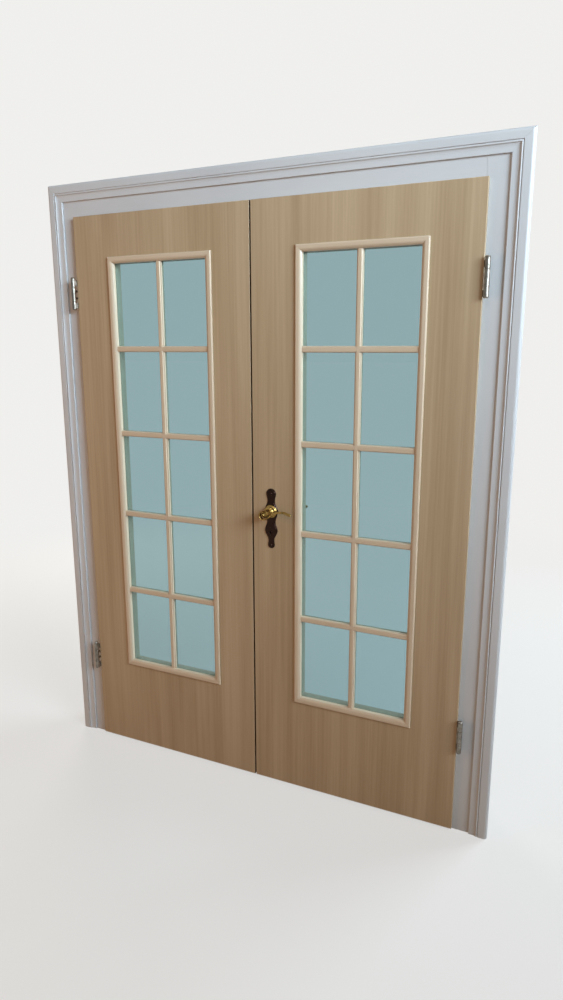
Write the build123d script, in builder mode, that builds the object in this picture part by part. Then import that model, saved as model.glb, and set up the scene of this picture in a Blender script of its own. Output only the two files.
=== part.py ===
from build123d import *
import os

os.makedirs("parts", exist_ok=True)

# A pair of glazed timber doors, rebated over each other and over their frame, with casings.
# Sizes are in millimetres. X runs to the right, Y away from the person in front, Z up.
# The origin is on the floor, midway between the casings and midway through the whole depth.

# The pair of leaves
pair_width = 1412.0  # over the outer lips of both leaves
leaf_height = 1985.0
leaf_thickness = 40.0
lip_thickness = 15.0  # the part of the edge that laps over the frame
lip_width = 13.0
floor_gap = 7.0
meeting_shift = -11.0  # the meeting line lies this far right of the middle
meeting_gap = 5.0  # seen from the front, between the faces of the leaves
edge_gap = 5.0  # behind the lip, between the edges of the leaves
lip_clearance = 0.5

# The glazed lights
hinge_stile = 149.0  # from the hinge edge of the right leaf to its beads
lock_stile = 153.5  # from the lip of the right leaf to its beads
passive_hinge_stile = 142.0
top_rail = 140.0
bottom_rail = 329.0
pane_rows = 5
bead_width = 22.0
bead_overlap = 8.0
bead_proud = 7.0
bead_edge = 2.0
bead_flat = 7.0
bead_fit = 0.2
glass_depth = 10.0  # from the front face of the leaf to the glass
glass_thickness = 4.0
glass_margin = 3.0
bar_width = 20.0
bar_proud = 1.0
bar_round = 5.0

# The frame
rebate_clearance = 4.0
seal_space = 4.0
stop_width = 14.0
board_width = 88.0
lining_thickness = 22.0
wall_thickness = 145.0
fixing_hole = 8.0
fixing_spread = 60.0
fixing_low = 300.0  # from the floor to the lower fixings
fixing_drop = 269.0  # from the head lining to the upper ones
seal_width = 9.0
seal_edge = 1.5
seal_clearance = 0.3
groove_width = 3.0
groove_depth = 5.0
groove_fit = 0.1

# The casings
band_width = 54.0  # plain board between the leaf and the moulding
moulding_width = 58.0
moulding_thickness = 11.0
moulding_round = 10.0
moulding_flat = 18.5
quirk_width = 2.5
quirk_depth = 3.0
astragal = 5.0
cove_drop = 5.0
cove_width = 13.0
cove_lead = 0.3  # how far across the cove its middle lies
cove_fall = 0.75  # how far down its drop
back_casing_width = 70.0
back_casing_thickness = 16.0
back_casing_round = 4.0
back_casing_reveal = 8.0

# The hinges
hinge_out = 11.0  # from the edge of the leaf to the hinge axis
hinge_forward = 7.5  # from the face of the leaf to the hinge axis
knuckle_radius = 7.5
socket_length = 48.0
knuckle_length = 29.0
knuckle_gap = 0.5
hinge_drop = 260.5  # from the top of the leaf to the middle of the upper hinge
hinge_rise = 336.5  # from the foot of the leaf to the middle of the lower hinge
pin_radius = 4.0
pin_fit = 0.05
pin_head = 5.5
pin_head_gap = 0.3
dome_round = 4.5
arm_height = 18.0
arm_reach = 4.5
arm_half = 4.5
leaf_stud_radius = 3.5
leaf_stud_length = 34.0
frame_stud_radius = 4.0
frame_stud_depth = 24.0
frame_stud_spread = 24.0
blind_end = 6.0

# The lock
spindle_height = 1005.5  # from the foot of the leaf
backset = 54.0
key_drop = 72.0
forend_height = 235.0
forend_width = 20.0
forend_thickness = 3.0
forend_above = 85.0
case_depth = 85.0
case_thickness = 15.0
case_above = 50.0
case_height = 165.0
case_wall = 1.5
mortise_fit = 0.2
spindle_side = 8.0
spindle_hole = 6.5  # in the plates
spindle_room = 8.0  # in the leaf
follower_radius = 9.0
journal_radius = 8.0
journal_fit = 0.05
inner_play = 0.2
follower_arm = 18.0
follower_arm_width = 6.0
latch_height = 24.0
latch_reach = 11.0
latch_body = 14.0
latch_rise = 14.0
latch_nose = 3.0
tail_height = 6.0
tail_thickness = 6.0
tail_gap = 1.5
hook_thickness = 4.0
hook_gap = 0.4
bolt_height = 28.0
bolt_thickness = 10.0
bolt_throw = 20.0
bolt_body = 30.0
bolt_drop = 46.0
bolt_tail_length = 38.0
bolt_tail_thickness = 4.0
talon_width = 12.0
talon_depth = 7.0
key_radius = 3.2
key_slot_width = 2.8
key_slot_drop = 9.0
key_clear = 1.5

# The handles
handle_reach = 58.0  # from the face of the leaf to the nose of the lever
plate_thickness = 2.6
plate_relief = 1.6
plate_margin = 3.0
plate_top = 77.5
plate_foot = 128.5
knob_half = 18.0
knob_rise = 60.0
upper_waist_half = 13.5
upper_waist_rise = 36.0
bulge_half = 25.0
lower_waist_half = 15.5
lower_waist_drop = 36.0
lobe_half = 23.5
lobe_drop = 66.0
stem_half = 10.5
stem_drop = 100.0
foot_half = 12.5
foot_drop = 117.0
hub_clearance = 0.3
hub_radius = 22.0
hub_length = 8.0
hub_round = 3.5
waist_radius = 14.0
waist_length = 3.0
collar_radius = 18.0
collar_length = 9.0
collar_round = 3.0
neck_radius = 12.0
neck_inset = 6.0  # from the nose of the lever to the end of the neck
scroll_half = 2.4
blade_half = 3.4
tip_half = 4.6
lever_steps = 40
scroll_end = 0.35  # how far along the lever its scroll ends
blade_end = 0.65  # how far along its blade begins to widen
blade_depth = 9.0
taper_start = 15.0  # from the spindle to where the lever begins to thin towards its blade
taper_end = 45.0
lever_axis = 51.0  # from the face of the leaf to the middle of the lever
spindle_grip = 18.0
screw_radius = 2.0
screw_head = 4.5
screw_dome = 2.2
screw_dome_round = 1.5
screw_length = 16.0
edge_screw_head = 4.0
edge_screw_length = 20.0
edge_screw_inset = 8.0

# The strike and the flush bolts
strike_height = 170.0
strike_above = 60.0
strike_width = 20.0
strike_thickness = 3.0
latch_front_play = 2.5
latch_back_play = 1.0
strike_play = 3.0
pocket_depth = 18.0
flush_plate_length = 180.0
flush_plate_margin = 25.0
flush_plate_thickness = 2.5
flush_case_depth = 22.0
flush_case_width = 12.0
flush_case_length = 120.0
short_screw_length = 10.0
rod_radius = 4.0
rod_backset = 17.0
rod_fit = 0.1
rod_channel = 0.4
rod_length = 150.0
rod_inset = 2.0
rod_travel = 18.0
tab_height = 12.0
tab_width = 5.0
tab_clearance = 0.5
keep_length = 40.0
keep_width = 20.0
keep_thickness = 2.0
keep_depth = 20.0
keep_screw_inset = 6.0

# The brads that hold the beads
brad_radius = 1.0
brad_length = 30.0
brad_depth = 5.0  # from the face of the leaf
brad_rows = 5
brad_columns = 3

# Places along the depth
nose_y = -(handle_reach + lip_thickness + lip_clearance + wall_thickness + back_casing_thickness) / 2
leaf_front = nose_y + handle_reach
leaf_back = leaf_front + leaf_thickness
body_front = leaf_front + lip_thickness
frame_front = body_front + lip_clearance
stop_face = leaf_back + seal_space
wall_back = frame_front + wall_thickness
edge_mid = (frame_front + leaf_back) / 2
glass_front = leaf_front + glass_depth
glass_back = glass_front + glass_thickness
hinge_y = leaf_front - hinge_forward

# Places across the width
half_pair = pair_width / 2
active_lip_edge = meeting_shift + meeting_gap / 2
active_edge = active_lip_edge + lip_width
passive_face_edge = meeting_shift - meeting_gap / 2
passive_edge = active_edge - edge_gap
rebate_x = half_pair - lip_width + rebate_clearance
stop_x = rebate_x - stop_width
board_x = rebate_x + board_width
lining_x = stop_x + lining_thickness
moulding_x = half_pair + band_width
casing_x = moulding_x + moulding_width
hinge_x = half_pair + hinge_out
spindle_x = active_edge + backset
light_width = half_pair - active_lip_edge - hinge_stile - lock_stile
active_light_x = half_pair - hinge_stile - light_width / 2
passive_light_x = passive_hinge_stile + light_width / 2 - half_pair
rod_x = passive_edge - rod_backset

# Places up the height
leaf_bottom = floor_gap
leaf_top = leaf_bottom + leaf_height
body_top = leaf_top - lip_width
rebate_z = body_top + rebate_clearance
stop_z = rebate_z - stop_width
board_z = rebate_z + board_width
lining_z = stop_z + lining_thickness
moulding_z = leaf_top + band_width
casing_z = moulding_z + moulding_width
spindle_z = leaf_bottom + spindle_height
latch_z = spindle_z + latch_rise
bolt_z = spindle_z - bolt_drop
key_z = spindle_z - key_drop
hinge_heights = (leaf_bottom + hinge_rise, leaf_top - hinge_drop)
light_height = leaf_height - bottom_rail - top_rail
light_low = leaf_bottom + bottom_rail
light_middle = light_low + light_height / 2
pane_height = (light_height - 2 * bead_width - (pane_rows - 1) * bar_width) / pane_rows
bar_heights = [
    light_low + bead_width + pane_height + bar_width / 2 + row * (pane_height + bar_width)
    for row in range(pane_rows - 1)
]

RIGHT = Vector(1, 0, 0)
BACK = Vector(0, 1, 0)
UP = Vector(0, 0, 1)


def elevation(depth):
    """The upright plane at a depth, seen from the front."""
    return Plane(origin=(0, depth, 0), x_dir=RIGHT, z_dir=-BACK)


def side_view(x):
    """The upright plane at a width, seen from the right: Y runs across and Z up."""
    return Plane(origin=(x, 0, 0), x_dir=BACK, z_dir=RIGHT)


def span(low_across, high_across, low_up, high_up, mode=Mode.ADD):
    """A rectangle between two corners, in the open sketch."""
    with Locations(((low_across + high_across) / 2, (low_up + high_up) / 2)):
        Rectangle(abs(high_across - low_across), abs(high_up - low_up), mode=mode)


def save(piece, name):
    piece.label = name
    export_step(piece, f"parts/{name}.step")


def mitred_run(place, section, length, width, start=True, finish=True):
    """A moulded length along the place's Z, its outer edge on the place's origin."""
    start_cut = width if start else 0
    finish_cut = width if finish else 0
    with BuildPart() as run:
        with BuildSketch(place):
            add(section)
        extrude(amount=length)
        with BuildSketch(Plane(origin=place.origin, x_dir=place.x_dir, z_dir=-place.y_dir)):
            with BuildLine():
                Polyline((0, 0), (width, start_cut), (width, length - finish_cut), (0, length), close=True)
            make_face()
        extrude(amount=wall_thickness, both=True, mode=Mode.INTERSECT)
    return run.part


def countersunk(places, length):
    """Flat-headed screws, each with its head at the origin of its place and its shank along -Z."""
    with BuildPart() as screws:
        for place in places:
            with BuildSketch(place):
                Circle(edge_screw_head)
            with BuildSketch(place.offset(screw_radius - edge_screw_head)):
                Circle(screw_radius)
            loft()
            with BuildSketch(place):
                Circle(screw_radius)
            extrude(amount=-length)
    return screws.part


# The frame boards: a post on each side with the head board between them

for side, name in ((-1, "left"), (1, "right")):
    with BuildPart() as post:
        with BuildSketch(Plane.XY):
            span(side * rebate_x, side * board_x, frame_front, stop_face)
        extrude(amount=board_z)
        with BuildSketch(elevation(frame_front)):
            for height in hinge_heights:
                with Locations(
                    (side * hinge_x, height - frame_stud_spread / 2),
                    (side * hinge_x, height + frame_stud_spread / 2),
                ):
                    Circle(frame_stud_radius)
        extrude(amount=-frame_stud_depth, mode=Mode.SUBTRACT)
    save(post.part, f"{name}_post")

keep_screws = countersunk(
    [
        Plane(origin=(rod_x + way * (keep_length / 2 - keep_screw_inset), edge_mid, rebate_z), z_dir=-UP)
        for way in (-1, 1)
    ],
    edge_screw_length,
)
save(keep_screws, "keep_screws")

with BuildPart() as head_board:
    with BuildSketch(Plane.XY.offset(rebate_z)):
        span(-rebate_x, rebate_x, frame_front, stop_face)
    extrude(amount=board_width)
    with BuildSketch(Plane.XY.offset(rebate_z)):
        with Locations((rod_x, edge_mid)):
            Rectangle(keep_length, keep_width)
    extrude(amount=keep_thickness, mode=Mode.SUBTRACT)
    with BuildSketch(Plane.XY.offset(rebate_z)):
        with Locations((rod_x, edge_mid)):
            Circle(rod_radius + rod_channel)
    extrude(amount=keep_depth, mode=Mode.SUBTRACT)
    add(keep_screws, mode=Mode.SUBTRACT)
save(head_board.part, "head_board")

with BuildPart() as head_bolt_keep:
    with BuildSketch(Plane.XY.offset(rebate_z)):
        with Locations((rod_x, edge_mid)):
            Rectangle(keep_length, keep_width)
            Circle(rod_radius + rod_channel, mode=Mode.SUBTRACT)
    extrude(amount=keep_thickness)
    add(keep_screws, mode=Mode.SUBTRACT)
save(head_bolt_keep.part, "head_bolt_keep")


# The linings: boards that run back through the wall and stop the leaves

groove_x = stop_x + stop_width / 2
groove_z = stop_z + stop_width / 2
lining_mid = (stop_face + wall_back) / 2

for side, name in ((-1, "left"), (1, "right")):
    with BuildPart() as lining:
        with BuildSketch(Plane.XY):
            span(side * stop_x, side * lining_x, stop_face, wall_back)
        extrude(amount=stop_z)
        with BuildSketch(Plane.XY):
            with Locations((side * groove_x, stop_face)):
                Rectangle(groove_width, 2 * groove_depth)
        extrude(amount=stop_z, mode=Mode.SUBTRACT)
        with BuildSketch(side_view(side * stop_x)):
            for height in (fixing_low, stop_z - fixing_drop):
                with Locations(
                    (lining_mid - fixing_spread / 2, height), (lining_mid + fixing_spread / 2, height)
                ):
                    Circle(fixing_hole / 2)
        extrude(amount=2 * lining_thickness, both=True, mode=Mode.SUBTRACT)
    save(lining.part, f"{name}_lining")

with BuildPart() as head_lining:
    with BuildSketch(Plane.XY.offset(stop_z)):
        span(-lining_x, lining_x, stop_face, wall_back)
    extrude(amount=lining_thickness)
    with BuildSketch(Plane.XY.offset(stop_z)):
        for side in (-1, 1):
            with Locations((side * groove_x, stop_face)):
                Rectangle(groove_width, 2 * groove_depth)
    extrude(amount=stop_width / 2 + groove_width / 2, mode=Mode.SUBTRACT)
    with BuildSketch(elevation(stop_face)):
        with Locations((0, groove_z)):
            Rectangle(2 * groove_x + groove_width, groove_width)
    extrude(amount=-groove_depth, mode=Mode.SUBTRACT)
save(head_lining.part, "head_lining")


# The seal: one soft strip up both sides and over the top, its tongue pressed in the groove

with BuildSketch() as seal_section:
    with BuildLine():
        tongue_left = (seal_width - groove_width) / 2 + groove_fit
        tongue_right = seal_width - tongue_left
        Polyline(
            (0, -seal_edge),
            (0, 0),
            (tongue_left, 0),
            (tongue_left, groove_depth - groove_fit),
            (tongue_right, groove_depth - groove_fit),
            (tongue_right, 0),
            (seal_width, 0),
            (seal_width, -seal_edge),
        )
        ThreePointArc((seal_width, -seal_edge), (seal_width / 2, seal_clearance - seal_space), (0, -seal_edge))
    make_face()

seal_x = groove_x + seal_width / 2
seal_z = groove_z + seal_width / 2
with BuildPart() as frame_seal:
    add(
        mitred_run(
            Plane(origin=(-seal_x, stop_face, 0), x_dir=RIGHT, z_dir=UP),
            seal_section.sketch, seal_z, seal_width, start=False,
        )
    )
    add(
        mitred_run(
            Plane(origin=(-seal_x, stop_face, seal_z), x_dir=-UP, z_dir=RIGHT),
            seal_section.sketch, 2 * seal_x, seal_width,
        )
    )
    add(
        mitred_run(
            Plane(origin=(seal_x, stop_face, seal_z), x_dir=-RIGHT, z_dir=-UP),
            seal_section.sketch, seal_z, seal_width, finish=False,
        )
    )
save(frame_seal.part, "frame_seal")


# The front mouldings: an outer round, a flat, a quirk, an astragal and a cove down to a fillet

with BuildSketch() as moulding_section:
    with BuildLine():
        flat_end = moulding_round + moulding_flat
        bead_start = flat_end + quirk_width
        bead_end = bead_start + astragal
        cove_end = bead_end + cove_width
        cove_top = moulding_thickness - astragal / 2
        fillet_top = moulding_thickness - cove_drop
        JernArc(
            start=(0, moulding_round - moulding_thickness), tangent=(0, -1),
            radius=moulding_round, arc_size=90,
        )
        Polyline(
            (moulding_round, -moulding_thickness),
            (flat_end, -moulding_thickness),
            (flat_end, quirk_depth - moulding_thickness),
            (bead_start, quirk_depth - moulding_thickness),
            (bead_start, -cove_top),
        )
        ThreePointArc(
            (bead_start, -cove_top), (bead_start + astragal / 2, -moulding_thickness), (bead_end, -cove_top)
        )
        cove_middle = (bead_end + cove_width * cove_lead, (cove_top - fillet_top) * cove_fall - cove_top)
        ThreePointArc((bead_end, -cove_top), cove_middle, (cove_end, -fillet_top))
        Polyline(
            (cove_end, -fillet_top),
            (moulding_width, -fillet_top),
            (moulding_width, 0),
            (0, 0),
            (0, moulding_round - moulding_thickness),
        )
    make_face()

casing_runs = {
    "left": (Plane(origin=(-casing_x, frame_front, 0), x_dir=RIGHT, z_dir=UP), casing_z, False, True),
    "head": (Plane(origin=(-casing_x, frame_front, casing_z), x_dir=-UP, z_dir=RIGHT), 2 * casing_x, True, True),
    "right": (Plane(origin=(casing_x, frame_front, casing_z), x_dir=-RIGHT, z_dir=-UP), casing_z, True, False),
}
for name, (place, length, start, finish) in casing_runs.items():
    moulding = mitred_run(place, moulding_section.sketch, length, moulding_width, start, finish)
    save(moulding, f"{name}_moulding")


# The back casings: flat boards with eased edges on the far side of the wall

with BuildSketch() as back_casing_section:
    with BuildLine():
        edge = back_casing_round - back_casing_thickness
        JernArc(start=(0, edge), tangent=(0, -1), radius=back_casing_round, arc_size=90)
        Line(
            (back_casing_round, -back_casing_thickness),
            (back_casing_width - back_casing_round, -back_casing_thickness),
        )
        JernArc(
            start=(back_casing_width - back_casing_round, -back_casing_thickness), tangent=(1, 0),
            radius=back_casing_round, arc_size=90,
        )
        Polyline((back_casing_width, edge), (back_casing_width, 0), (0, 0), (0, edge))
    make_face()

back_x = stop_x + back_casing_reveal + back_casing_width
back_z = stop_z + back_casing_reveal + back_casing_width
back_runs = {
    "right": (Plane(origin=(back_x, wall_back, 0), x_dir=-RIGHT, z_dir=UP), back_z, False, True),
    "head": (Plane(origin=(back_x, wall_back, back_z), x_dir=-UP, z_dir=-RIGHT), 2 * back_x, True, True),
    "left": (Plane(origin=(-back_x, wall_back, back_z), x_dir=RIGHT, z_dir=-UP), back_z, True, False),
}
for name, (place, length, start, finish) in back_runs.items():
    casing = mitred_run(place, back_casing_section.sketch, length, back_casing_width, start, finish)
    save(casing, f"{name}_back_casing")


# The hinges: a middle knuckle studded into the post, two outer knuckles studded into the leaf

socket_top = socket_length / 2
knuckle_bottom = socket_top + knuckle_gap
knuckle_middle = knuckle_bottom + knuckle_length / 2
knuckle_top = knuckle_bottom + knuckle_length
stud_y = leaf_front + lip_thickness / 2


def rims(edges, radius, *levels):
    """The round edges of a radius that lie at one of the levels."""
    return edges.filter_by(GeomType.CIRCLE).filter_by(
        lambda rim: abs(rim.radius - radius) < pin_fit
        and any(abs(rim.center().Z - level) < pin_fit for level in levels)
    )


hinge_places = [(side * hinge_x, height) for side in (-1, 1) for height in hinge_heights]

with BuildPart() as hinge_sockets:
    for across, height in hinge_places:
        with BuildSketch(Plane.XY.offset(height)):
            with Locations((across, hinge_y)):
                Circle(knuckle_radius)
        extrude(amount=socket_top, both=True)
        with BuildSketch(elevation(frame_front + frame_stud_depth)):
            with Locations((across, height - frame_stud_spread / 2), (across, height + frame_stud_spread / 2)):
                Circle(frame_stud_radius)
        extrude(amount=frame_stud_depth + frame_front - hinge_y)
        with BuildSketch(Plane.XY.offset(height)):
            with Locations((across, hinge_y)):
                Circle(pin_radius)
        extrude(amount=socket_top, both=True, mode=Mode.SUBTRACT)
save(hinge_sockets.part, "hinge_sockets")

with BuildPart() as hinge_pins:
    for across, height in hinge_places:
        with BuildSketch(Plane.XY.offset(height - knuckle_top + blind_end + knuckle_gap)):
            with Locations((across, hinge_y)):
                Circle(pin_radius)
        extrude(amount=2 * knuckle_top - blind_end)
        with BuildSketch(Plane.XY.offset(height + knuckle_top + pin_head_gap)):
            with Locations((across, hinge_y)):
                Circle(knuckle_radius)
        extrude(amount=pin_head)
    cap_levels = [height + knuckle_top + pin_head_gap + pin_head for height in hinge_heights]
    fillet(rims(hinge_pins.edges(), knuckle_radius, *cap_levels), radius=dome_round)
save(hinge_pins.part, "hinge_pins")

for side, leaf in ((-1, "passive"), (1, "active")):
    with BuildPart() as knuckles:
        for height in hinge_heights:
            for middle in (height - knuckle_middle, height + knuckle_middle):
                with BuildSketch(Plane.XY.offset(middle)):
                    with Locations((side * hinge_x, hinge_y)):
                        Circle(knuckle_radius)
                extrude(amount=knuckle_length / 2, both=True)
                with BuildSketch(Plane.XY.offset(middle)):
                    with BuildLine():
                        Polyline(
                            (side * (hinge_x - knuckle_radius), hinge_y),
                            (side * half_pair, stud_y - arm_half),
                            (side * half_pair, stud_y + arm_half),
                            (side * (half_pair + arm_reach), stud_y + arm_half),
                            (side * (hinge_x + knuckle_radius / 2), hinge_y + knuckle_radius / 2),
                            close=True,
                        )
                    make_face()
                extrude(amount=arm_height / 2, both=True)
                with BuildSketch(side_view(side * (half_pair - leaf_stud_length))):
                    with Locations((stud_y, middle)):
                        Circle(leaf_stud_radius)
                extrude(amount=side * (leaf_stud_length + arm_reach / 2))
        feet = [height - knuckle_top for height in hinge_heights]
        fillet(rims(knuckles.edges(), knuckle_radius, *feet), radius=dome_round)
        for foot in feet:
            with BuildSketch(Plane.XY.offset(foot + blind_end)):
                with Locations((side * hinge_x, hinge_y)):
                    Circle(pin_radius + pin_fit)
            extrude(amount=2 * knuckle_top, mode=Mode.SUBTRACT)
    save(knuckles.part, f"{leaf}_hinge_knuckles")


# The glazing of a leaf: a sheet of glass between two sets of mitred beads and bars

with BuildSketch() as front_bead_section:
    with BuildLine():
        crest_start = bead_proud - bead_edge
        JernArc(start=(0, -bead_edge), tangent=(0, -1), radius=crest_start, arc_size=90)
        Line((crest_start, -bead_proud), (crest_start + bead_flat, -bead_proud))
        TangentArc(
            (crest_start + bead_flat, -bead_proud), (bead_width, -bar_proud), tangent=(1, 0)
        )
        Polyline(
            (bead_width, -bar_proud),
            (bead_width, glass_depth),
            (bead_overlap + bead_fit, glass_depth),
            (bead_overlap + bead_fit, 0),
            (0, 0),
            (0, -bead_edge),
        )
    make_face()

back_glass_depth = leaf_thickness - glass_depth - glass_thickness
with BuildSketch() as back_bead_section:
    with BuildLine():
        JernArc(start=(0, -bead_edge), tangent=(0, -1), radius=crest_start, arc_size=90)
        Line((crest_start, -bead_proud), (crest_start + bead_flat, -bead_proud))
        TangentArc(
            (crest_start + bead_flat, -bead_proud), (bead_width, -bar_proud), tangent=(1, 0)
        )
        Polyline(
            (bead_width, -bar_proud),
            (bead_width, back_glass_depth),
            (bead_overlap + bead_fit, back_glass_depth),
            (bead_overlap + bead_fit, 0),
            (0, 0),
            (0, -bead_edge),
        )
    make_face()

bar_depth = glass_depth + bar_proud
with BuildSketch() as bar_section:
    with BuildLine():
        half_bar = bar_width / 2
        Polyline((-half_bar, bar_round), (-half_bar, bar_depth), (half_bar, bar_depth), (half_bar, bar_round))
        RadiusArc((half_bar, bar_round), (half_bar - bar_round, 0), -bar_round)
        Line((half_bar - bar_round, 0), (bar_round - half_bar, 0))
        RadiusArc((bar_round - half_bar, 0), (-half_bar, bar_round), -bar_round)
    make_face()

with BuildSketch() as crossing:
    with BuildLine():
        inner = half_bar - bar_round
        Polyline(
            (-half_bar, -half_bar), (-inner, -inner), (-inner, inner), (-half_bar, half_bar),
            (half_bar, half_bar), (inner, inner), (inner, -inner), (half_bar, -half_bar), close=True,
        )
    make_face()


def beads(centre, face, into, section):
    """The four mitred beads round a light, by the edge that each one lies on."""
    runs = {}
    for name, inward in (("left", RIGHT), ("right", -RIGHT), ("bottom", UP), ("top", -UP)):
        along = inward.cross(into)
        across = (light_width if inward.X else light_height) / 2
        length = light_height if inward.X else light_width
        corner = Vector(centre, face, light_middle) - inward * across - along * (length / 2)
        runs[name] = mitred_run(Plane(origin=corner, x_dir=inward, z_dir=along), section, length, bead_width)
    return runs


def upright_bar(centre, face, into):
    """The standing bar, notched for the crossbars, which are scribed into it."""
    along = RIGHT.cross(into)
    length = light_height - 2 * bead_width
    foot = Vector(centre, face, light_middle) - along * (length / 2)
    with BuildPart() as bar:
        with BuildSketch(Plane(origin=foot, x_dir=RIGHT, z_dir=along)):
            add(bar_section.sketch)
        extrude(amount=length)
        with BuildSketch(elevation(face)):
            with Locations(*[(centre, height) for height in bar_heights]):
                Rectangle(bar_width, bar_width)
                add(crossing.sketch, mode=Mode.SUBTRACT)
        extrude(amount=2 * bar_depth, both=True, mode=Mode.SUBTRACT)
    return bar.part


def crossbars(centre, face, into):
    """The short level bars on both sides of the standing bar."""
    along = UP.cross(into)
    length = light_width - 2 * bead_width
    with BuildPart() as bars:
        for height in bar_heights:
            end = Vector(centre, face, height) - along * (length / 2)
            with BuildSketch(Plane(origin=end, x_dir=UP, z_dir=along)):
                add(bar_section.sketch)
            extrude(amount=length)
        with BuildSketch(elevation(face)):
            with Locations(*[(centre, height) for height in bar_heights]):
                add(crossing.sketch)
        extrude(amount=2 * bar_depth, both=True, mode=Mode.SUBTRACT)
    return bars.part


bead_reach = light_width / 2 - bead_width
bead_rise = light_height / 2 - bead_width
brad_rises = [(row - (brad_rows - 1) / 2) * light_height / brad_rows for row in range(brad_rows)]
brad_steps = [(step - (brad_columns - 1) / 2) * light_width / brad_columns for step in range(brad_columns)]


def brads_of(centre):
    """The brads of the front beads, driven outward from the sight edges into the slab."""
    with BuildPart() as brads:
        for inward in (-1, 1):
            with BuildSketch(side_view(centre - inward * bead_reach)):
                with Locations(*[(leaf_front + brad_depth, light_middle + rise) for rise in brad_rises]):
                    Circle(brad_radius)
            extrude(amount=-inward * brad_length)
            with BuildSketch(Plane.XY.offset(light_middle - inward * bead_rise)):
                with Locations(*[(centre + step, leaf_front + brad_depth) for step in brad_steps]):
                    Circle(brad_radius)
            extrude(amount=-inward * brad_length)
    return brads.part


opening_width = light_width - 2 * bead_overlap
opening_height = light_height - 2 * bead_overlap
light_centres = {"active": active_light_x, "passive": passive_light_x}
brads = {leaf: brads_of(centre) for leaf, centre in light_centres.items()}

for leaf, centre in light_centres.items():
    save(brads[leaf], f"{leaf}_brads")
    with BuildPart() as glass:
        with BuildSketch(elevation(glass_front)):
            with Locations((centre, light_middle)):
                Rectangle(opening_width - 2 * glass_margin, opening_height - 2 * glass_margin)
        extrude(amount=-glass_thickness)
    save(glass.part, f"{leaf}_glass")

    for edge_name, bead in beads(centre, leaf_front, BACK, front_bead_section.sketch).items():
        with BuildPart() as drilled_bead:
            add(bead)
            add(brads[leaf], mode=Mode.SUBTRACT)
        save(drilled_bead.part, f"{leaf}_{edge_name}_bead")
    back_beads = beads(centre, leaf_back, -BACK, back_bead_section.sketch)
    save(Compound(children=list(back_beads.values())), f"{leaf}_back_beads")

    save(upright_bar(centre, leaf_front - bar_proud, BACK), f"{leaf}_upright_bar")
    save(crossbars(centre, leaf_front - bar_proud, BACK), f"{leaf}_crossbars")
    save(upright_bar(centre, glass_back + bar_depth, -BACK), f"{leaf}_back_upright_bar")
    save(crossbars(centre, glass_back + bar_depth, -BACK), f"{leaf}_back_crossbars")


# The leaves: slabs with an opening for the glazing and a lip that laps over the frame


def stud_bores(side):
    """What the studs of the hinges take out of a leaf."""
    with BuildPart() as bores:
        with BuildSketch(side_view(side * (half_pair - leaf_stud_length))):
            for height in hinge_heights:
                with Locations((stud_y, height - knuckle_middle), (stud_y, height + knuckle_middle)):
                    Circle(leaf_stud_radius)
        extrude(amount=side * leaf_stud_length)
    return bores.part


def slab(face_low, face_high, body_low, body_high, centre):
    """A leaf with its lip, cut for the glazing."""
    with BuildPart() as blank:
        with BuildSketch(elevation(leaf_front)):
            span(face_low, face_high, leaf_bottom, leaf_top)
        extrude(amount=-lip_thickness)
        with BuildSketch(elevation(body_front)):
            span(body_low, body_high, leaf_bottom, body_top)
        extrude(amount=lip_thickness - leaf_thickness)
        with BuildSketch(elevation(leaf_front)):
            with Locations((centre, light_middle)):
                Rectangle(opening_width, opening_height)
        extrude(amount=-leaf_thickness, mode=Mode.SUBTRACT)
    return blank.part


def keyhole(clear):
    """A keyhole on the lock's key axis, widened by a clearance."""
    with BuildSketch(elevation(leaf_front)) as hole:
        with Locations((spindle_x, key_z)):
            Circle(key_radius + clear)
        span(
            spindle_x - key_slot_width / 2 - clear, spindle_x + key_slot_width / 2 + clear,
            key_z - key_slot_drop - clear, key_z,
        )
    return hole.sketch_local


# The lock: a hollow case behind a forend, with a follower, a latch and a dead bolt inside

case_top = spindle_z + case_above
case_low = case_top - case_height
forend_top = spindle_z + forend_above
forend_low = forend_top - forend_height
latch_thickness = case_thickness - 2 * case_wall - 2 * inner_play

lock_screws = countersunk(
    [
        Plane(origin=(active_edge, edge_mid, height), z_dir=-RIGHT)
        for height in (forend_low + edge_screw_inset, forend_top - edge_screw_inset)
    ],
    edge_screw_length,
)
save(lock_screws, "lock_screws")

with BuildPart() as lock_case:
    with BuildSketch(side_view(active_edge)):
        span(edge_mid - forend_width / 2, edge_mid + forend_width / 2, forend_low, forend_top)
    extrude(amount=forend_thickness)
    with BuildSketch(side_view(active_edge)):
        span(edge_mid - case_thickness / 2, edge_mid + case_thickness / 2, case_low, case_top)
    extrude(amount=case_depth)
    with BuildSketch(side_view(active_edge + forend_thickness)):
        hollow_half = case_thickness / 2 - case_wall
        span(edge_mid - hollow_half, edge_mid + hollow_half, case_low + case_wall, case_top - case_wall)
    extrude(amount=case_depth - forend_thickness - case_wall, mode=Mode.SUBTRACT)
    with BuildSketch(side_view(active_edge)):
        with Locations((edge_mid, latch_z)):
            Rectangle(latch_thickness + 2 * inner_play, latch_height + 2 * inner_play)
        with Locations((edge_mid, bolt_z)):
            Rectangle(bolt_thickness + 2 * inner_play, bolt_height + 2 * inner_play)
    extrude(amount=forend_thickness, mode=Mode.SUBTRACT)
    with BuildSketch(elevation(edge_mid)):
        with Locations((spindle_x, spindle_z)):
            Circle(journal_radius + journal_fit)
        add(keyhole(0))
    extrude(amount=case_thickness, both=True, mode=Mode.SUBTRACT)
    add(lock_screws, mode=Mode.SUBTRACT)
save(lock_case.part, "lock_case")

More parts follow.
